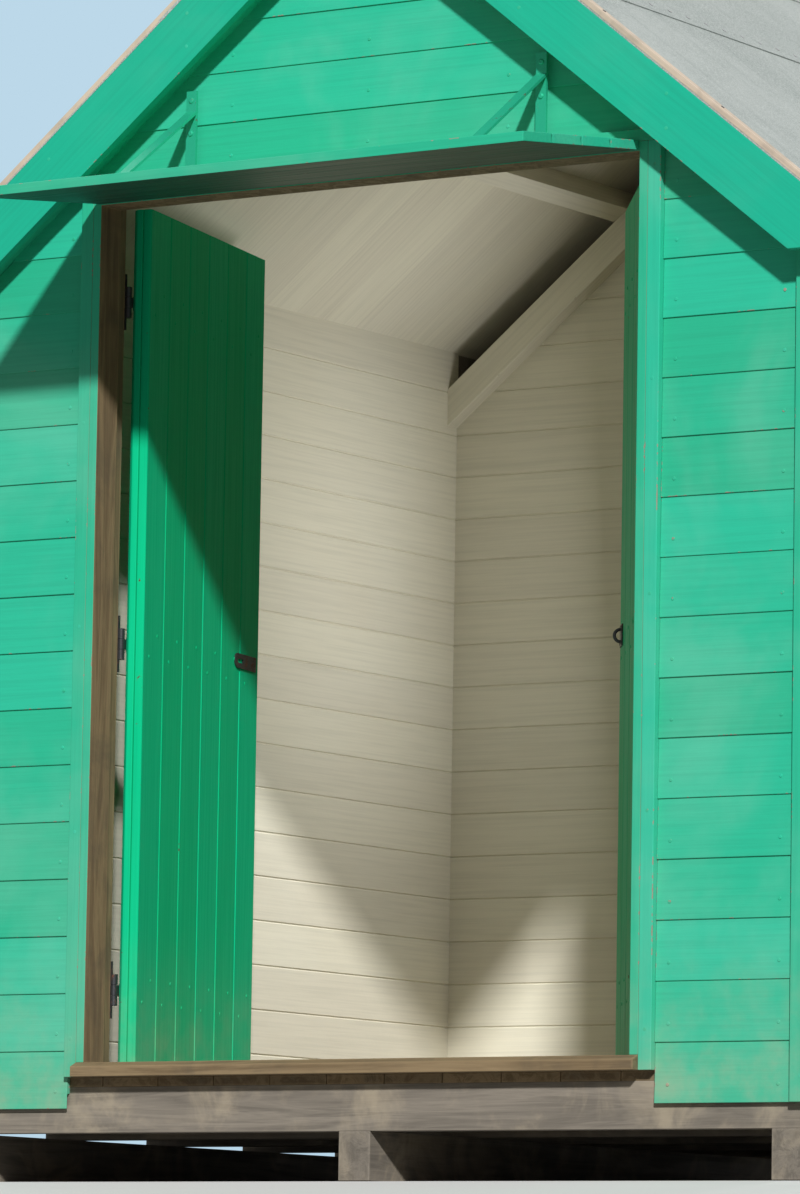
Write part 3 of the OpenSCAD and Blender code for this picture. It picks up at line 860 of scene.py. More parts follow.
def finish_material(name, bump, distance, group, run, values):
    """A material whose colour, roughness and relief come from a group, with the grain running one way."""
    material, tree, shader, relief, place = base_material(name, bump, distance)
    film = use_group(
        tree, group, {"Grain vector": grain_vector(tree, place, run), "Object vector": place}, values
    )
    feed(tree, shader, {"Base Color": film.outputs["Color"], "Roughness": film.outputs["Roughness"]})
    feed(tree, relief, {"Height": film.outputs["Height"]})
    return material, shader


def painted(name, paint, run, wear=1.0, dust=1.0, variation=1.0, fade=1.0, gloss=PAINT_GLOSS, under=None):
    """Brushed paint on timber whose grain runs one way."""
    colours, worn = bpy.context.scene.hut_colours, bpy.context.scene.hut_wear
    group = shared("Brushed paint", paint_group, shared("Wood grain", grain_group))
    material, shader = finish_material(name, 0.55, 0.0012, group, run, {
        "Paint": rgba(paint),
        "Timber": rgba(under or colours.primer),
        "Dust": rgba(colours.dust),
        "Wear": worn.paint * wear,
        "Fading": worn.fade * fade,
        "Dust amount": worn.dust * dust,
        "Variation": variation,
    })
    shader.inputs["Specular IOR Level"].default_value = gloss
    return material


def bare(name, dark, light, run, stain, amount=0.4):
    """Unpainted timber whose grain runs one way."""
    group = shared("Bare timber", timber_group, shared("Wood grain", grain_group))
    return finish_material(name, 0.6, 0.0010, group, run, {
        "Dark": rgba(dark), "Light": rgba(light), "Stain": rgba(stain), "Stain amount": amount,
    })[0]


def ironwork(name, base, amount=1.0):
    """Painted iron with rust in its corners and along its edges."""
    colours, worn = bpy.context.scene.hut_colours, bpy.context.scene.hut_wear
    material, tree, shader, relief, place = base_material(name, 0.5, 0.0006)
    patch = noise_node(tree, place, 38.0, 6.0, 0.65, 0.3)
    grit = noise_node(tree, place, 420.0, 3.0, 0.6)
    mixed = plus(tree, math_node(tree, "MULTIPLY", patch, 0.7), grit, 0.3)
    edge = 0.62 - 0.22 * worn.rust * amount
    rust = band_node(tree, mixed, edge, edge + 0.07)
    rusty = mix_node(tree, band_node(tree, grit, 0.3, 0.7), colours.rust, (0.10, 0.035, 0.015))
    feed(tree, shader, {
        "Base Color": mix_node(tree, rust, base, rusty),
        "Roughness": band_node(tree, rust, 0.0, 1.0, 0.42, 0.88),
        "Metallic": band_node(tree, rust, 0.0, 1.0, 0.35, 0.0),
    })
    feed(tree, relief, {"Height": plus(tree, grit, rust, 0.8)})
    return material


def mineral_felt(name, base):
    """Mineral-faced felt: fine grit, weather streaks down the slope and paler patches."""
    material, tree, shader, relief, place = base_material(name, 0.8, 0.0014)
    grit = add_node(tree, "ShaderNodeTexVoronoi", Scale=620.0)
    feed(tree, grit, {"Vector": place})
    grains = add_node(tree, "ShaderNodeSeparateColor")
    tree.links.new(grit.outputs["Color"], grains.inputs[0])
    patch = noise_node(tree, place, 3.5, 5.0, 0.6, 0.6)
    streak = noise_node(tree, stretched(tree, place, STREAK_STRETCH), 1.0, 4.0, 0.6)
    dark = mix_node(tree, 0.45, base, (0.10, 0.11, 0.10))
    light = mix_node(tree, 0.35, base, (0.86, 0.86, 0.82))
    speckled = mix_node(tree, band_node(tree, grains.outputs[0], 0.0, 1.0, 0.0, 0.85), dark, light)
    weathered = mix_node(tree, band_node(tree, patch, 0.35, 0.7, 0.0, 0.35), speckled, light)
    streaked = mix_node(tree, band_node(tree, streak, 0.5, 0.75, 0.0, 0.30), weathered, dark)
    feed(tree, shader, {"Base Color": streaked})
    shader.inputs["Roughness"].default_value = 0.92
    feed(tree, relief, {"Height": plus(tree, grains.outputs[1], patch, 1.5)})
    return material


def material_for(name, build, *values, **options):
    """A material, built once."""
    return bpy.data.materials.get(name) or build(name, *values, **options)


def green_paint(run):
    label = run if isinstance(run, str) else "turned"
    return material_for("Green paint " + label, painted, bpy.context.scene.hut_colours.green, run)


def trim_paint(run):
    """The green of the bargeboards, a little deeper and less faded than the walls'."""
    colours = bpy.context.scene.hut_colours
    return material_for("Trim paint " + run, painted, colours.trim, run, fade=0.3)


def painted_shade_green(run):
    """The green under the hood, darkened to 0.12 of the walls' green as painted shade."""
    tone = [0.12 * value for value in bpy.context.scene.hut_colours.green]
    return material_for("Shaded paint " + run, painted, tone, run, wear=0.3, fade=0.1)


def cream_paint(run):
    colours = bpy.context.scene.hut_colours
    return material_for(
        "Cream paint " + run, painted, colours.cream, run, wear=0.5, dust=0.3, variation=0.5, under=colours.wood
    )


def door_paint(run):
    label = run if isinstance(run, str) else "turned %.3f" % run[2]
    colours = bpy.context.scene.hut_colours
    return material_for(
        "Door paint " + label, painted, colours.door, run, wear=0.25, variation=0.7, fade=0.05, gloss=0.06,
        under=colours.wood
    )


def worn_timber(run):
    colours = bpy.context.scene.hut_colours
    return material_for("Worn timber " + run, bare, colours.wood, colours.wood_light, run, (0.05, 0.045, 0.035))


def pale_timber(run):
    colours = bpy.context.scene.hut_colours
    dark = [0.72 * value for value in colours.pale]
    return material_for("Pale timber " + run, bare, dark, colours.pale, run, colours.grey, 0.5)


def painted_shade_timber(run):
    """Timber deep under the roof, darkened to a tenth to three tenths of the bare timber as painted shade."""
    tones = bpy.context.scene.hut_colours
    dark = [0.10 * value for value in tones.wood]
    light = [0.30 * value for value in tones.wood]
    return material_for("Shaded timber " + run, bare, dark, light, run, dark, 0.5)


def silvered_timber(run):
    colours = bpy.context.scene.hut_colours
    dark = [0.45 * value for value in colours.grey]
    return material_for("Silvered timber " + run, bare, dark, colours.grey, run, colours.dust, 0.5)


def black_iron():
    return material_for("Black iron", ironwork, bpy.context.scene.hut_colours.iron)


def green_iron():
    return material_for("Green iron", ironwork, bpy.context.scene.hut_colours.green, 0.3)


# Pieces


def weatherboard(run_length, exposure, sizes):
    """One tapered board along X, rebated over the one below, facing -Y over a frame face at y = 0."""
    height = exposure + sizes.lap
    board = block("weatherboard", (0, -sizes.butt_out, 0), (run_length, 0, height))
    middle_y, middle_z = -sizes.butt_out / 2, height / 2
    shift(board, lambda c: c.z > middle_z and c.y < middle_y, (0, sizes.butt_out - sizes.feather, 0))
    ease(board, sizes.edge * NARROW, sizes.margin)
    for z in (sizes.lap, sizes.lap + REBATE_SLOPE):
        cut(board, (0, 0, z), (0, 0, 1), drop=False)
    shift(board, lambda c: c.z < sizes.lap + NEAR and c.y > middle_y, (0, sizes.butt - sizes.butt_out, 0))
    return board


def board_rows(low, high, exposure):
    """Heights of the lower edges of boards that cover a wall."""
    return [low + exposure * row for row in range(math.ceil((high - low) / exposure))]


def cladding(sizes):
    """Each boarded face: its name, wall, start, length, rows, exposure and plumb drop under the roof."""
    gap = sizes.joint / 3
    inner = POST_HIGH.x + gap
    column = CORNER_X - gap - inner
    side = BACK_Y - FRONT_Y - 2 * (CORNER_Y - FRONT_Y) - 2 * gap
    wall, gable = sizes.exposure, sizes.gable_exposure
    beside = board_rows(CLAD_BASE, roof_z(inner, -PACKER_DROP), wall)
    over = board_rows(HEAD_HIGH.z, roof_z(0, -PACKER_DROP), gable)
    back = board_rows(CLAD_BASE, roof_z(0, -PACKER_DROP), wall)
    flank = board_rows(CLAD_BASE, roof_z(HALF_W), wall)
    return (
        ("front_right", "front", (inner, FRONT_Y), column, beside, wall, PACKER_DROP),
        ("front_left", "front", (-CORNER_X + gap, FRONT_Y), column, beside, wall, PACKER_DROP),
        ("gable", "front", (-POST_HIGH.x, FRONT_Y), 2 * POST_HIGH.x, over, gable, PACKER_DROP),
        ("back", "back", (CORNER_X - gap, BACK_Y), 2 * (CORNER_X - gap), back, wall, PACKER_DROP),
        ("side_right", "right", (HALF_W, CORNER_Y + gap), side, flank, wall, 0.0),
        ("side_left", "left", (-HALF_W, CORNER_Y + gap + side), side, flank, wall, 0.0),
    )


class HutWeatherboards(bpy.types.Operator):
    """Covers the walls and gables with rebated weatherboards"""

    bl_idname = "hut.weatherboards"
    bl_label = "Weatherboards"

    def execute(self, context):
        sizes = context.scene.hut_boards
        for seed, (name, wall, start, run_length, rows, exposure, drop) in enumerate(cladding(sizes), 11):
            chance = random.Random(seed)
            board = weatherboard(run_length, exposure, sizes)
            places = []
            for row in rows:
                lean = Matrix.Rotation(math.radians(chance.uniform(-LEAN, LEAN)), 4, "X")
                wobble = Matrix.Rotation(math.radians(chance.uniform(-WOBBLE, WOBBLE)), 4, "Y")
                places.append(turned((*start, row), FACING[wall]) @ wobble @ lean)
            piece = copies("weatherboards_" + name, board, places, seed)
            cut_under_roof(piece, -drop)
            finish(piece, "hut", green_paint(wall_run(wall)))
        return {"FINISHED"}


class HutLining(bpy.types.Operator):
    """Lines the walls inside with matched boards"""

    bl_idname = "hut.lining"
    bl_label = "Lining"

    def line(self, name, wall, start, run_length, low, high, seed, drop=0.0):
        """Lines one wall from a start along it, between two heights."""
        sizes = bpy.context.scene.hut_boards
        board = block("lining", (0, -sizes.lining_t, 0), (run_length, 0, sizes.lining_w))
        front = -sizes.lining_t / 2
        chamfer(board, along(0, lambda middle: middle.y < front), sizes.vee)
        rows = board_rows(low, high, sizes.lining_w)
        places = [turned((*start, row), FACING[wall]) for row in rows]
        piece = copies(name, board, places, seed)
        cut_under_roof(piece, -drop)
        finish(piece, "hut", cream_paint(wall_run(wall)))

    def execute(self, context):
        x, post_x = HALF_W - WALL_T, POST_HIGH.x
        front_y, back_y = FRONT_Y + WALL_T, BACK_Y - WALL_T
        reach, beside = back_y - front_y, x - post_x
        ceiling, over_post = roof_z(x), roof_z(post_x)
        self.line("lining_side_right", "left", (x, back_y), reach, FLOOR_Z, ceiling, seed=21)
        self.line("lining_side_left", "right", (-x, front_y), reach, FLOOR_Z, ceiling, seed=22)
        self.line("lining_back", "front", (-x, back_y), 2 * x, FLOOR_Z, APEX_Z, seed=23, drop=SLOT_DROP)
        self.line("lining_front_right", "back", (x, front_y), beside, FLOOR_Z, over_post, seed=24)
        self.line("lining_front_left", "back", (-post_x, front_y), beside, FLOOR_Z, over_post, seed=25)
        self.line("lining_gable", "back", (post_x, front_y), 2 * post_x, HEAD_HIGH.z, APEX_Z, seed=26)
        return {"FINISHED"}


class HutTrim(bpy.types.Operator):
    """Gives the posts, corner boards, bargeboards and frame timbers eased edges and their finish"""

    bl_idname = "hut.trim"
    bl_label = "Trim and frame timbers"

    def dress(self, node, material, slot, other=None, test=None):
        """An eased copy of a node's timbers, with another material on the faces that pass a test."""
        sizes = bpy.context.scene.hut_boards
        piece = node_copy(node, node + "_timber")
        ease(piece, sizes.edge, sizes.margin * NARROW)
        fill_value(piece.data, "board", random.Random(node).random())
        finish(piece, "hut", material, [node])
        if other:
            coat_faces(piece, other, test)

    def execute(self, context):
        green, bare_slot, cream = "green_painted_timber", "bare_timber", "cream_painted_timber"

        def outside(face):
            return looks(face, (0, -1, 0))

        def beside(face):
            return outside(face) or face.normal.x * face.center.x > AWAY

        def on_top(face):
            return outside(face) or looks(face, (0, 0, 1))

        def on_left(face):
            return face.center.x < 0

        for end, inward in (("front", 1), ("back", -1)):
            self.dress("bargeboard_" + end + "_right", trim_paint("slope_right"), green)
            self.dress("bargeboard_" + end + "_left", trim_paint("slope_left"), green)
            # Painted shade: the packers' inward faces, seen through the slot under the roof, get the darkened
            # timber
            self.dress("barge_packers_" + end, green_paint("x"), green, painted_shade_timber("x"),
                lambda face: looks(face, (0, inward, 0)))
        for node in ("eaves_board_left", "eaves_board_right"):
            self.dress(node, green_paint("y"), green)
        self.dress("corner_boards", green_paint("z"), green)
        for node in ("door_post_left", "door_post_right"):
            self.dress(node, worn_timber("z"), bare_slot, green_paint("z"), beside)
        self.dress("door_stops", worn_timber("z"), bare_slot, green_paint("z"), outside)
        self.dress("door_head", worn_timber("x"), bare_slot, green_paint("x"), on_top)
        self.dress("threshold", worn_timber("x"), bare_slot)
        self.dress("verge_strips", pale_timber("slope_right"), bare_slot, pale_timber("slope_left"), on_left)
        self.dress("bearers", silvered_timber("y"), "weathered_timber")
        self.dress("floor_joists", silvered_timber("x"), "weathered_timber")
        for node in ("ridge_board", "purlins"):
            self.dress(node, cream_paint("y"), cream)
        self.dress("back_rafters", cream_paint("slope_right"), cream, cream_paint("slope_left"), on_left)
        return {"FINISHED"}


class HutFloor(bpy.types.Operator):
    """Lays the floor boards"""

    bl_idname = "hut.floor"
    bl_label = "Floor boards"

    def execute(self, context):
        sizes = context.scene.hut_boards
        count, width = parts_of(2 * HALF_W, sizes.floor_w)
        board = block("floor_board", (0, FRONT_Y, DECK_LOW.z), (width - sizes.joint, BACK_Y, DECK_HIGH.z))
        ease(board, sizes.edge, sizes.margin * NARROW)
        places = [Matrix.Translation((-HALF_W + sizes.joint / 2 + width * i, 0, 0)) for i in range(count)]
        piece = copies("floor_boards", board, places, seed=31)
        finish(piece, "hut", worn_timber("y"), ["floor_deck"])
        return {"FINISHED"}


class HutRoofBoards(bpy.types.Operator):
    """Lays the roof boards down both slopes"""

    bl_idname = "hut.roof_boards"
    bl_label = "Roof boards"

    def execute(self, context):
        sizes = context.scene.hut_boards
        count, width = parts_of(ROOF_HIGH.y - ROOF_LOW.y, sizes.roof_w)
        for name, side in SIDES.items():
            x = sorted((0, side * ROOF_HIGH.x))
            board = block("roof_board", (x[0], 0, APEX_Z), (x[1], width, APEX_Z + ROOF_RISE))
            half = ROOF_HIGH.x / 2
            shift(board, lambda c: abs(c.x) > half, (0, 0, -SLOPE * ROOF_HIGH.x))
            under = roof_z(half, ROOF_RISE / 2)
            chamfer(board, along(0, lambda middle: middle.z < under), sizes.vee)
            places = [Matrix.Translation((0, ROOF_LOW.y + width * i, 0)) for i in range(count)]
            piece = copies("roof_planks_" + name, board, places, seed=40 + side)
            run = "slope_" + name
            finish(piece, "hut", cream_paint(run), ["roof_boards_" + name])
        return {"FINISHED"}


def surface_sheet(name, side, x_range, y_range, steps, lift):
    """A sheet of felt on one slope, between two distances from the ridge, at a plumb height over the boards."""
    size_x, size_y = x_range[1] - x_range[0], y_range[1] - y_range[0]
    add = bpy.ops.mesh.primitive_grid_add
    sheet = added(name, add, x_subdivisions=steps[0], y_subdivisions=steps[1], size=1)
    middle = (side * (x_range[0] + x_range[1]) / 2, (y_range[0] + y_range[1]) / 2, 0)
    sheet.data.transform(Matrix.Translation(middle) @ Matrix.Diagonal((size_x, size_y, 1, 1)))
    for vertex in sheet.data.vertices:
        vertex.co.z = roof_z(vertex.co.x, ROOF_RISE + lift)
    return sheet


def felt_ends(felt):
    """Distances from the ridge line at which the lower course and the upper course of felt end."""
    lower = FELT_HIGH.x - felt.thickness
    return lower, lower - felt.course * math.cos(PITCH)


class HutFeltLaying(bpy.types.Operator):
    """Lays two courses of felt on each slope and the ridge cap"""

    bl_idname = "hut.felt"
    bl_label = "Felt"

    def thicken(self, sheet, thickness):
        """Turns a sheet's faces upwards and gives it its thickness."""
        edit_all(sheet)
        bpy.ops.mesh.normals_make_consistent(inside=False)
        done()
        if sum(face.normal.z for face in sheet.data.polygons) < 0:
            sheet.data.flip_normals()
        solid = sheet.modifiers.new("thickness", "SOLIDIFY")
        solid.thickness = thickness
        solid.offset = 1.0
        only(sheet)
        bpy.ops.object.modifier_apply(modifier=solid.name)

    def ripple(self, sheet, height, seed):
        """Lifts the inside of a sheet in low ripples, and none at its edges."""
        chance = random.Random(seed)
        waves = [(chance.uniform(4, 11), chance.uniform(3, 9), chance.uniform(0, 6.28)) for _ in range(5)]
        low, high = extent([vertex.co for vertex in sheet.data.vertices])
        for vertex in sheet.data.vertices:
            x, y = vertex.co.xy
            inside = min(x - low.x, high.x - x, y - low.y, high.y - y)
            room = min(1.0, max(0.0, inside / CALM_EDGE))
            total = sum(math.sin(a * x + b * y + c) for a, b, c in waves) / len(waves)
            vertex.co.z += height * room * (0.5 + total)

    def courses(self, felt, name, material):
        """The lower course with its turned-down lip, and the upper one over it."""
        side = SIDES[name]
        level = math.cos(PITCH)
        y_range = (FELT_LOW.y, FELT_HIGH.y)
        far_x, lap_x = felt_ends(felt)
        lower = surface_sheet("felt_lower", side, (lap_x - felt.lap * level, far_x), y_range, LOWER_STEPS, 0.0)
        self.ripple(lower, felt.ripple, seed=50 + side)
        edit(lower)
        pick(lower, "EDGE", lambda e: all(abs(v.co.x) > far_x - NEAR for v in e.verts))
        bpy.ops.mesh.extrude_region_move(TRANSFORM_OT_translate={"value": (0, 0, -felt.lip)})
        done()
        upper = surface_sheet("felt_upper", side, (0.0, lap_x), y_range, UPPER_STEPS, 0.0)
        self.ripple(upper, felt.ripple, seed=60 + side)
        over = lap_x - felt.lap * level * LAP_REACH
        for vertex in upper.data.vertices:
            if abs(vertex.co.x) > over:
                vertex.co.z += felt.thickness / level
        for sheet in (lower, upper):
            self.thicken(sheet, felt.thickness)
        piece = join("felt_courses_" + name, [lower, upper])
        finish(piece, "hut", material, ["felt_" + name])

    def cap(self, felt, material):
        """A strip of felt folded over the ridge."""
        low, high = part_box("ridge_cap")
        lift = felt.thickness / math.cos(PITCH)
        halves = []
        for side in SIDES.values():
            half = surface_sheet("cap", side, (0.0, high.x), (low.y, high.y), CAP_STEPS, lift)
            self.ripple(half, felt.ripple, seed=90 + side)
            halves.append(half)
        sheet = join("felt_ridge_cap", halves)
        edit_all(sheet)
        bpy.ops.mesh.remove_doubles(threshold=NEAR)
        done()
        self.thicken(sheet, felt.thickness)
        finish(sheet, "hut", material, ["ridge_cap"])

    def execute(self, context):
        felt = context.scene.hut_felt
        material = material_for("Mineral felt", mineral_felt, context.scene.hut_colours.felt)
        for name in SIDES:
            self.courses(felt, name, material)
        self.cap(felt, material)
        return {"FINISHED"}


def levels(node):
    """Middle heights of a node's separate parts, from the lowest up."""
    heights = sorted(v.co.z for v in NODES[node].data.vertices)
    groups = [[heights[0]]]
    for height in heights[1:]:
        if height - groups[-1][-1] > PART_GAP:
            groups.append([])
        groups[-1].append(height)
    return [(group[0] + group[-1]) / 2 for group in groups]


class HutDoors(bpy.types.Operator):
    """Builds the doors from matched boards on a frame of stiles, ledges and braces"""

    bl_idname = "hut.doors"
    bl_label = "Doors"

    def boards(self, side, sizes):
        """The matched boards of a door."""
        node = "door_" + side + "_boards"
        low, high = closed_box(node, side)
        width = (high.x - low.x) / sizes.door_n
        board = block("door_board", low, (low.x + width, high.y, high.z))
        chamfer(board, along(2), sizes.vee)
        ease(board, sizes.edge / 2, sizes.margin)
        places = [Matrix.Translation((width * i, 0, 0)) for i in range(sizes.door_n)]
        piece = copies("door_" + side + "_planks", board, places, seed=70 + SIDES[side])
        place_mesh(piece, closing(side).inverted())
        finish(piece, side + "_door", door_paint("z"), [node])

    def brace(self, x, z, y, width):
        """A brace across the rectangle between two ledges, from its hung lower corner to its free upper one."""
        low = (min(x), y[0], z[0])
        high = (max(x), y[1], z[1])
        timber = block("brace", low, high)
        hung, free = Vector((x[1], 0, z[0])), Vector((x[0], 0, z[1]))
        run = (free - hung).normalized()
        across = Vector((-run.z, 0, run.x))
        for way in (-1, 1):
            cut(timber, hung + way * across * width / 2, way * across)
        return timber

    def frame(self, side, sizes):
        """The stiles, ledges and braces of a door."""
        node = "door_" + side + "_ledges"
        low, high = closed_box(node, side)
        hung, free = (high.x, low.x) if side == "right" else (low.x, high.x)
        inward = -SIDES[side]
        hung_in, free_in = hung + inward * sizes.stile, free - inward * sizes.stile
        stiles = []
        for a, b in ((hung, hung_in), (free, free_in)):
            stile = block("stile", (min(a, b), low.y, low.z), (max(a, b), high.y, high.z))
            if a == hung:
                corner = along(2, lambda m: abs(m.x - hung) < NEAR and m.y > high.y - NEAR)
                chamfer(stile, corner, sizes.stile_ease)
            ease(stile, sizes.edge, sizes.margin)
            coat(stile, door_paint("z"))
            stiles.append(stile)
        turn = closing(side).inverted().to_euler().z
        paint = door_paint((0, 0, -turn))
        rails = []
        heights = levels("door_" + side + "_straps")
        half = sizes.ledge / 2
        for z in heights:
            x = sorted((hung_in, free_in))
            rails.append(block("ledge", (x[0], low.y, z - half), (x[1], high.y, z + half)))
        for below, above in zip(heights, heights[1:]):
            z = (below + half, above - half)
            rails.append(self.brace((free_in, hung_in), z, (low.y, high.y), sizes.brace))
        for rail in rails:
            ease(rail, sizes.edge, sizes.margin)
            coat(rail, paint)
        chance = random.Random(75 + SIDES[side])
        for timber in stiles + rails:
            fill_value(timber.data, "board", chance.random())
        piece = join("door_" + side + "_frame", stiles + rails)
        place_mesh(piece, closing(side).inverted())
        finish(piece, side + "_door", None, [node])

    def execute(self, context):
        for side in SIDES:
            self.boards(side, context.scene.hut_boards)
            self.frame(side, context.scene.hut_boards)
        return {"FINISHED"}


def hood_slope():
    """Fall of the hood for each unit of its reach."""
    low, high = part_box("hood_board")
    front = [v.co.z for v in NODES["hood_board"].data.vertices if v.co.y < low.y + NEAR]
    return (high.z - max(front)) / (high.y - low.y)


class HutHood(bpy.types.Operator):
    """Builds the hood's boards"""

    bl_idname = "hut.hood"
    bl_label = "Hood"

    def execute(self, context):
        sizes = context.scene.hut_boards
        low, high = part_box("hood_board")
        fall = hood_slope() * (high.y - low.y)
        thickness = high.z - low.z - fall
        width = (high.y - low.y) / sizes.hood_n
        board = block("hood_plank", (low.x, low.y, low.z), (high.x, low.y + width, low.z + thickness))
        step = fall / sizes.hood_n
        middle = low.y + width / 2
        shift(board, lambda c: c.y > middle, (0, 0, step))
        chamfer(board, along(0, lambda m: m.y > middle), sizes.vee)
        ease(board, sizes.edge, sizes.margin)
        places = [Matrix.Translation((0, width * i, step * i)) for i in range(sizes.hood_n)]
        piece = copies("hood_planks", board, places, seed=80)
        finish(piece, "hut", green_paint("x"), ["hood_board"])
        # Painted shade: the hood's downward faces get the darkened green
        coat_faces(piece, painted_shade_green("x"), lambda face: looks(face, (0, 0, -1)))
        return {"FINISHED"}


class HutIron(bpy.types.Operator):
    """Finishes the hinges, bolts, hasp and brackets, and the frames behind the boards"""

    bl_idname = "hut.iron"
    bl_label = "Ironwork"

    def execute(self, context):
        for node in ("door_left_straps", "door_right_straps", "hinge_plates_left", "hinge_plates_right",
                "door_left_hasp", "door_right_staple", "door_right_bolts"):
            coat(NODES[node], black_iron())
        coat(NODES["hood_brackets"], green_iron())
        for node in ("front_wall_left", "front_wall_right", "front_gable", "back_wall"):
            coat(NODES[node], silvered_timber("x"))
        for node in ("side_wall_left", "side_wall_right"):
            coat(NODES[node], silvered_timber("y"))
        return {"FINISHED"}


def spread(low, high, before, after, gap):
    """Even places between two values, with a margin at each end, about a gap apart."""
    low, high = low + before, high - after
    count = max(1, round((high - low) / gap))
    return [low + (high - low) * i / count for i in range(count + 1)]


def stand(spot, direction, swung=Matrix()):
    """Stands a fastener at a spot, its axis along a direction, and swings it with its door."""
    turn = Vector(direction).to_track_quat("Z", "Y").to_matrix().to_4x4()
    return swung @ Matrix.Translation(spot) @ turn


def slope_normal(side):
    """The direction that one slope of the roof faces."""
    return (side * math.sin(PITCH), 0, math.cos(PITCH))


class HutFasteners(bpy.types.Operator):
    """Drives the nails in the boards and felt and the screws in the ironwork"""

    bl_idname = "hut.fasteners"
    bl_label = "Nails and screws"

    def head(self, radius, height, sides=NAIL_SIDES, sink=0.0):
        """A low domed head along Z that reaches as far into its face as out of it, and may sink further."""
        add = bpy.ops.mesh.primitive_cylinder_add
        piece = added("head", add, vertices=sides, radius=radius, depth=2 * height)
        edit(piece)
        pick(piece, "EDGE", lambda e: all(v.co.z > 0 for v in e.verts))
        bpy.ops.mesh.bevel(offset=height * DOME, segments=2, affect="EDGES")
        done()
        mark_edges(piece)
        place_mesh(piece, Matrix.Translation((0, 0, -sink)))
        return piece

    def drive(self, name, head, places, body, slot, material, seed):
        """One piece from copies of a head, given by its sizes."""
        if places:
            finish(copies(name, self.head(*head), places, seed), body, material)

    def screws(self, name, radius, places, body, seed):
        """Screws of black iron."""
        height = bpy.context.scene.hut_nails.height
        self.drive(name, (radius, height, SCREW_SIDES), places, body, "ironwork", black_iron(), seed)

    def board_nails(self, sizes, nails):
        """A nail through each weatherboard at every stud, over its lap."""
        for seed, (name, wall, start, run_length, rows, exposure, drop) in enumerate(cladding(sizes), 101):
            tilt = math.atan2(sizes.butt_out - sizes.feather, exposure + sizes.lap)
            face_y = -sizes.butt_out + nails.above * math.tan(tilt)
            edge = min(BOARD_MARGIN, run_length / 4)
            lean = Matrix.Rotation(QUARTER - tilt, 4, "X")
            places = []
            for row in rows:
                board = turned((*start, row), FACING[wall])
                for x in spread(0, run_length, edge, edge, nails.stud):
                    place = board @ Matrix.Translation((x, face_y, nails.above)) @ lean
                    spot = place.translation
                    if spot.z < roof_z(spot.x, -drop) - RAKE_MARGIN:
                        places.append(place)
            paint = green_paint(wall_run(wall))
            head = (nails.board, nails.height)
            self.drive("nails_" + name, head, places, "hut", "green_painted_timber", paint, seed)

    def trim_nails(self, nails):
        """Nails in the bargeboards, corner boards and door posts, driven nearly flush."""
        places = []
        low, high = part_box("bargeboard_front_right")
        back_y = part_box("bargeboard_back_right")[1].y
        ends = [v.co.z for v in NODES["bargeboard_front_right"].data.vertices if abs(v.co.x) < NEAR]
        middle = (min(ends) + max(ends)) / 2 - APEX_Z
        for face_y, out in ((low.y, -1), (back_y, 1)):
            for side in SIDES.values():
                for x in spread(0, high.x, *BARGE_ROW):
                    for step in BARGE_STEPS:
                        spot = (side * x, face_y, roof_z(x, middle + step))
                        if spot[2] > low.z + FOOT_RADII * nails.trim:
                            places.append(stand(spot, (0, out, 0)))
        corner_x = (CORNER_X + CORNER_HIGH.x) / 2
        post_x = (POST_LOW.x + POST_HIGH.x) / 2
        for side in SIDES.values():
            for face_y, out in ((CORNER_LOW.y, -1), (CORNER_HIGH.y, 1)):
                flank_y = face_y - out * (CORNER_Y - CORNER_LOW.y) / 2
                for z in spread(CLAD_BASE, roof_z(CORNER_HIGH.x), *CORNER_ROW):
                    places.append(stand((side * corner_x, face_y, z), (0, out, 0)))
                    spot = (side * CORNER_HIGH.x, flank_y, z + CORNER_STAGGER)
                    places.append(stand(spot, (side, 0, 0)))
            for z in spread(POST_LOW.z, POST_HIGH.z, *POST_ROW):
                places.append(stand((side * post_x, POST_LOW.y, z), (0, -1, 0)))
        head = (nails.trim, nails.height, NAIL_SIDES, nails.sink * nails.height)
        self.drive("nails_trim", head, places, "hut", "green_painted_timber", green_paint("z"), seed=111)

    def strip_nails(self, nails):
        """Nails in the strips that hold the felt at the verges."""
        low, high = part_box("verge_strips")
        lift = high.z - APEX_Z
        half = (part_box("ridge_cap")[0].y - low.y) / 2
        places = [
            stand((side * x, y, roof_z(x, lift)), slope_normal(side))
            for y in (low.y + half, high.y - half)
            for side in SIDES.values()
            for x in spread(0, high.x, *STRIP_ROW)
        ]
        head = (nails.trim, nails.height)
        self.drive("nails_verge_strips", head, places, "hut", "ironwork", black_iron(), seed=112)

    def felt_nails(self, felt):
        """Clout nails along the laps, the ridge cap and the eaves."""
        thick = felt.thickness / math.cos(PITCH)
        lap_x = felt_ends(felt)[1]
        low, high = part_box("ridge_cap")
        rows = [(edge - inset, up * thick) for edge, (inset, up) in ((lap_x, LAP_ROW), (high.x, CAP_ROW))]
        lip_z = roof_z(FELT_HIGH.x, ROOF_RISE) - felt.lip / 2
        places = []
        for side in SIDES.values():
            for y in spread(low.y, high.y, FELT_MARGIN, FELT_MARGIN, felt.spacing):
                for x, lift in rows:
                    places.append(stand((side * x, y, roof_z(x, ROOF_RISE + lift)), slope_normal(side)))
                places.append(stand((side * FELT_HIGH.x, y, lip_z), (side, 0, 0)))
        zinc = material_for("Galvanised clouts", ironwork, bpy.context.scene.hut_colours.zinc, 0.6)
        head = (felt.nail, felt.nail * CLOUT_HEIGHT)
        self.drive("nails_felt", head, places, "hut", "ironwork", zinc, seed=121)

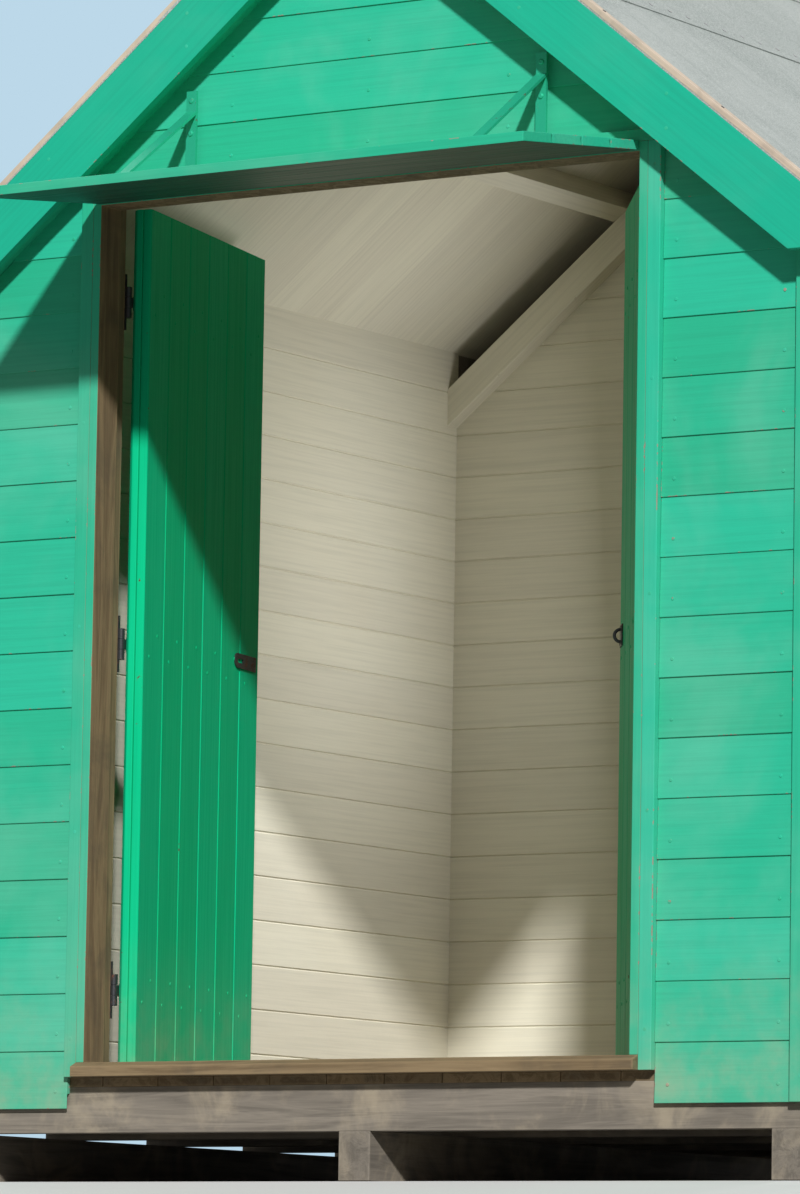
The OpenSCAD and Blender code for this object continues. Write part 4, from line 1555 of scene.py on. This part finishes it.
    def floor_nails(self, sizes, nails):
        """Two nails through each floor board at every joist between the walls."""
        count, width = parts_of(2 * HALF_W, sizes.floor_w)
        faces = sorted({round(v.co.y, 3) for v in NODES["floor_joists"].data.vertices})
        joists = [(a + b) / 2 for a, b in zip(faces[::2], faces[1::2])]
        places = []
        for i in range(count):
            for y in joists:
                for part in FLOOR_NAILS:
                    x = -HALF_W + width * (i + part)
                    if abs(x) < HALF_W - WALL_T and FRONT_Y + WALL_T < y < BACK_Y - WALL_T:
                        places.append(Matrix.Translation((x, y, FLOOR_Z)))
        head = (nails.board, nails.height * FLOOR_NAIL_HEIGHT)
        self.drive("nails_floor", head, places, "hut", "ironwork", black_iron(), seed=131)

    def door_nails(self, side, sizes, nails):
        """Nails through a door's boards into its ledges."""
        swung = closing(side).inverted()
        low, high = closed_box("door_" + side + "_boards", side)
        width = (high.x - low.x) / sizes.door_n
        places = [
            stand((low.x + width * (i + part), low.y, z + step * sizes.ledge), (0, -1, 0), swung)
            for i in range(sizes.door_n)
            for z in levels("door_" + side + "_straps")
            for part, step in DOOR_NAILS
        ]
        head = (nails.board, nails.height)
        name = "nails_door_" + side
        self.drive(name, head, places, side + "_door", "door_green_timber", door_paint("z"), seed=141)

    def hinge_screws(self, side, nails):
        """Screws through a door's straps, and through the plates on its post."""
        straps, plates = "door_" + side + "_straps", "hinge_plates_" + side
        swung = closing(side).inverted()
        inward = -SIDES[side]
        pin_x = HINGES[side + "_door_hinge"]["pos_m"][0]
        low, high = closed_box(straps, side)
        reach = inward * (high.x - low.x)
        face_y = closed_box("door_" + side + "_ledges", side)[1].y + nails.strap
        places = [
            stand((pin_x + reach * part, face_y, z), (0, 1, 0), swung)
            for z in levels(straps) for part in STRAP_SHARES
        ]
        self.screws("screws_straps_" + side, nails.screw, places, side + "_door", seed=151)
        plate_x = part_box(plates)[1 if side == "right" else 0].x + inward * PLATE_INSET
        places = [
            stand((plate_x, face_y, z + step), (0, 1, 0))
            for z in levels(plates) for step in PLATE_STEPS
        ]
        self.screws("screws_plates_" + side, nails.screw, places, "hut", seed=152)

    def lock_screws(self, nails):
        """Screws in the hasp, the staple's plate and the bolts' plates."""
        low, high = closed_box("door_left_hasp", "left")
        swung = closing("left").inverted()
        middle = (low.z + high.z) / 2
        places = [stand((high.x - inset, low.y, middle), (0, -1, 0), swung) for inset in HASP_INSETS]
        self.screws("screws_hasp", nails.screw, places, "left_door", seed=161)
        swung = closing("right").inverted()
        low, high = closed_box("door_right_staple", "right")
        face_y = closed_box("door_right_boards", "right")[0].y - nails.plate
        places = [
            stand((x, face_y, z), (0, -1, 0), swung)
            for x in (low.x + LOCK_INSET, high.x - LOCK_INSET)
            for z in (low.z + LOCK_INSET, high.z - LOCK_INSET)
        ]
        low, high = closed_box("door_right_bolts", "right")
        face_y = closed_box("door_right_ledges", "right")[1].y + nails.plate
        heights = levels("door_right_straps")
        places += [
            stand((x, face_y, z + step), (0, 1, 0), swung)
            for z in (heights[0], heights[-1])
            for x in (low.x + LOCK_INSET, high.x - LOCK_INSET)
            for step in BOLT_STEPS
        ]
        self.screws("screws_lock", nails.screw * LOCK_SCREW, places, "right_door", seed=162)

    def bracket_bolts(self, nails):
        """Bolt heads on the hood brackets' legs and arms."""
        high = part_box("hood_brackets")[1]
        hood_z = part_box("hood_board")[1].z
        inner = [v.co.x for v in NODES["hood_brackets"].data.vertices if v.co.x > 0]
        middle = (min(inner) + max(inner)) / 2
        slope = hood_slope()
        places = []
        for side in SIDES.values():
            x = side * middle
            for drop in LEG_DROPS:
                places.append(stand((x, high.y - nails.bracket, high.z - drop), (0, -1, 0)))
            for back in ARM_REACHES:
                spot = (x, high.y - back, hood_z - slope * back + nails.bracket)
                places.append(stand(spot, (0, -slope, 1)))
        head = (nails.screw * BOLT_RADIUS, nails.height * BOLT_HEIGHT, SCREW_SIDES)
        self.drive("bolts_brackets", head, places, "hut", "green_painted_timber", green_iron(), seed=171)

    def execute(self, context):
        scene = context.scene
        sizes, nails = scene.hut_boards, scene.hut_nails
        self.board_nails(sizes, nails)
        self.trim_nails(nails)
        self.strip_nails(nails)
        self.felt_nails(scene.hut_felt)
        self.floor_nails(sizes, nails)
        for side in SIDES:
            self.door_nails(side, sizes, nails)
            self.hinge_screws(side, nails)
        self.lock_screws(nails)
        self.bracket_bolts(nails)
        return {"FINISHED"}


class HutStage(bpy.types.Operator):
    """Sets the pale ground, the soft lights and the camera"""

    bl_idname = "hut.stage"
    bl_label = "Stage"

    def spaced(self, value):
        """Moves a line of the floor's grid towards the middle."""
        return math.copysign(GROUND_HALF, value) * (abs(value) / GROUND_HALF) ** GROUND_POWER

    def ground(self, colours):
        """A pale floor that is level under the hut and falls gently away from it."""
        steps = GROUND_STEPS
        add = bpy.ops.mesh.primitive_grid_add
        floor = added("ground", add, x_subdivisions=steps, y_subdivisions=steps, size=2 * GROUND_HALF)
        middle_y = (FRONT_Y + BACK_Y) / 2
        half = Vector((HALF_W, (BACK_Y - FRONT_Y) / 2))
        for vertex in floor.data.vertices:
            co = vertex.co
            co.x = self.spaced(co.x)
            co.y = self.spaced(co.y) + middle_y
            out = Vector((max(0.0, abs(co.x) - half.x), max(0.0, abs(co.y - middle_y) - half.y)))
            away = max(0.0, out.length - GROUND_LEVEL)
            co.z = -GROUND_DROP * (1 - math.exp(-away * GROUND_FALL))
        material = bpy.data.materials.new("Ground")
        material.use_nodes = True
        tree = material.node_tree
        shader = tree.nodes["Principled BSDF"]
        place = add_node(tree, "ShaderNodeTexCoord").outputs["Object"]
        worn = [0.95 * value for value in colours.ground]
        patches = band_node(tree, noise_node(tree, place, 1.2, 4.0), 0.3, 0.7, 0.0, 0.25)
        tone = mix_node(tree, patches, colours.ground, worn)
        rays = tree.nodes.new("ShaderNodeLightPath").outputs
        shown = math_node(tree, "ADD", rays["Is Camera Ray"], rays["Is Glossy Ray"], clamp=True)
        feed(tree, shader, {"Base Color": mix_node(tree, shown, colours.bounce, tone)})
        shader.inputs["Roughness"].default_value = 0.95
        floor.data.materials.append(material)

    def light(self, name, source, strength, angle):
        """A sun that shines from an azimuth to the right of the doorway and an elevation."""
        lamp = added(name, bpy.ops.object.light_add, type="SUN")
        lamp.data.energy = strength
        lamp.data.angle = angle
        a, e = (math.radians(value) for value in source)
        toward = Vector((math.sin(a) * math.cos(e), -math.cos(a) * math.cos(e), math.sin(e)))
        lamp.rotation_euler = toward.to_track_quat("Z", "Y").to_euler()

    def inside_lamp(self, power):
        """A soft lamp for the inside alone, in place of the light that pale goods in the doorway throw up."""
        lamp = added("inside", bpy.ops.object.light_add, type="AREA")
        lamp.data.shape = "RECTANGLE"
        lamp.data.size, lamp.data.size_y = INSIDE_SIZE
        lamp.data.energy = power
        lamp.visible_camera = False
        lamp.visible_glossy = False
        lamp.location = INSIDE_PLACE
        lamp.rotation_euler = Vector(INSIDE_BACK).to_track_quat("Z", "Y").to_euler()
        lit = bpy.data.collections.new("inside light")
        for piece in bpy.context.scene.objects:
            if piece.name.startswith(INSIDE):
                lit.objects.link(piece)
        lamp.light_linking.receiver_collection = lit

    def world(self, colours, strength):
        """Even white light, with a plain pale background for the camera."""
        scene = bpy.context.scene
        scene.world = scene.world or bpy.data.worlds.new("World")
        scene.world.use_nodes = True
        tree = scene.world.node_tree
        tree.nodes.clear()
        even = add_node(tree, "ShaderNodeBackground", Color=(1, 1, 1, 1), Strength=strength)
        shown = add_node(tree, "ShaderNodeBackground", Color=rgba(colours.sky), Strength=1.0)
        rays = tree.nodes.new("ShaderNodeLightPath").outputs
        seen = math_node(tree, "ADD", rays["Is Camera Ray"], rays["Is Transmission Ray"], clamp=True)
        mix = tree.nodes.new("ShaderNodeMixShader")
        tree.links.new(seen, mix.inputs[0])
        tree.links.new(even.outputs[0], mix.inputs[1])
        tree.links.new(shown.outputs[0], mix.inputs[2])
        tree.links.new(mix.outputs[0], tree.nodes.new("ShaderNodeOutputWorld").inputs[0])

    def camera(self):
        """The camera at the photograph's place, its frame fitted by height."""
        level = Vector((-math.sin(CAMERA_YAW), math.cos(CAMERA_YAW), 0))
        forward = level * math.cos(CAMERA_RISE) + AXIS_Z * math.sin(CAMERA_RISE)
        right = forward.cross(AXIS_Z).normalized()
        up = right.cross(forward)
        c, s = math.cos(CAMERA_ROLL), math.sin(CAMERA_ROLL)
        rolled_right = c * right - s * up
        rolled_up = s * right + c * up
        turn = Matrix((rolled_right, rolled_up, -forward)).transposed().to_4x4()
        camera = added("camera", bpy.ops.object.camera_add)
        camera.matrix_world = Matrix.Translation(CAMERA_PLACE) @ turn
        camera.data.sensor_fit = "VERTICAL"
        camera.data.sensor_height = SENSOR_H
        camera.data.lens = FOCAL_PX * SENSOR_H / PHOTO_H
        camera.data.clip_end = CAMERA_REACH
        bpy.context.scene.camera = camera

    def execute(self, context):
        scene = context.scene
        colours, lights = scene.hut_colours, scene.hut_lights
        self.ground(colours)
        self.light("key", KEY_FROM, lights.sun, lights.softness)
        self.light("fill", FILL_FROM, lights.fill, FILL_SPAN)
        self.inside_lamp(lights.inside)
        self.world(colours, lights.world)
        self.camera()
        scene.view_settings.view_transform = "Standard"
        return {"FINISHED"}


class HutPanel(bpy.types.Panel):
    """Lists the beach hut's steps"""

    bl_idname = "VIEW3D_PT_beach_hut"
    bl_label = "Beach Hut"
    bl_space_type = "VIEW_3D"
    bl_region_type = "UI"
    bl_category = "Beach Hut"

    def draw(self, context):
        for operator in OPERATORS:
            self.layout.operator(operator.bl_idname)


GROUPS = {
    "hut_boards": HutBoards,
    "hut_felt": HutFelt,
    "hut_nails": HutNails,
    "hut_colours": HutColours,
    "hut_wear": HutWear,
    "hut_lights": HutLights,
}
OPERATORS = (
    HutWeatherboards, HutLining, HutTrim, HutFloor, HutRoofBoards, HutFeltLaying, HutDoors, HutHood, HutIron,
    HutFasteners, HutStage,
)


def register():
    for group in GROUPS.values():
        bpy.utils.register_class(group)
    for name, group in GROUPS.items():
        setattr(bpy.types.Scene, name, PointerProperty(type=group))
    for operator in OPERATORS:
        bpy.utils.register_class(operator)
    bpy.utils.register_class(HutPanel)


def unregister():
    bpy.utils.unregister_class(HutPanel)
    for operator in reversed(OPERATORS):
        bpy.utils.unregister_class(operator)
    for name in GROUPS:
        delattr(bpy.types.Scene, name)
    for group in reversed(list(GROUPS.values())):
        bpy.utils.unregister_class(group)


def main():
    register()
    bpy.ops.hut.weatherboards()
    bpy.ops.hut.lining()
    bpy.ops.hut.trim()
    bpy.ops.hut.floor()
    bpy.ops.hut.roof_boards()
    bpy.ops.hut.felt()
    bpy.ops.hut.doors()
    bpy.ops.hut.hood()
    bpy.ops.hut.iron()
    bpy.ops.hut.fasteners()
    bpy.ops.hut.stage()


if __name__ == "__main__":
    main()
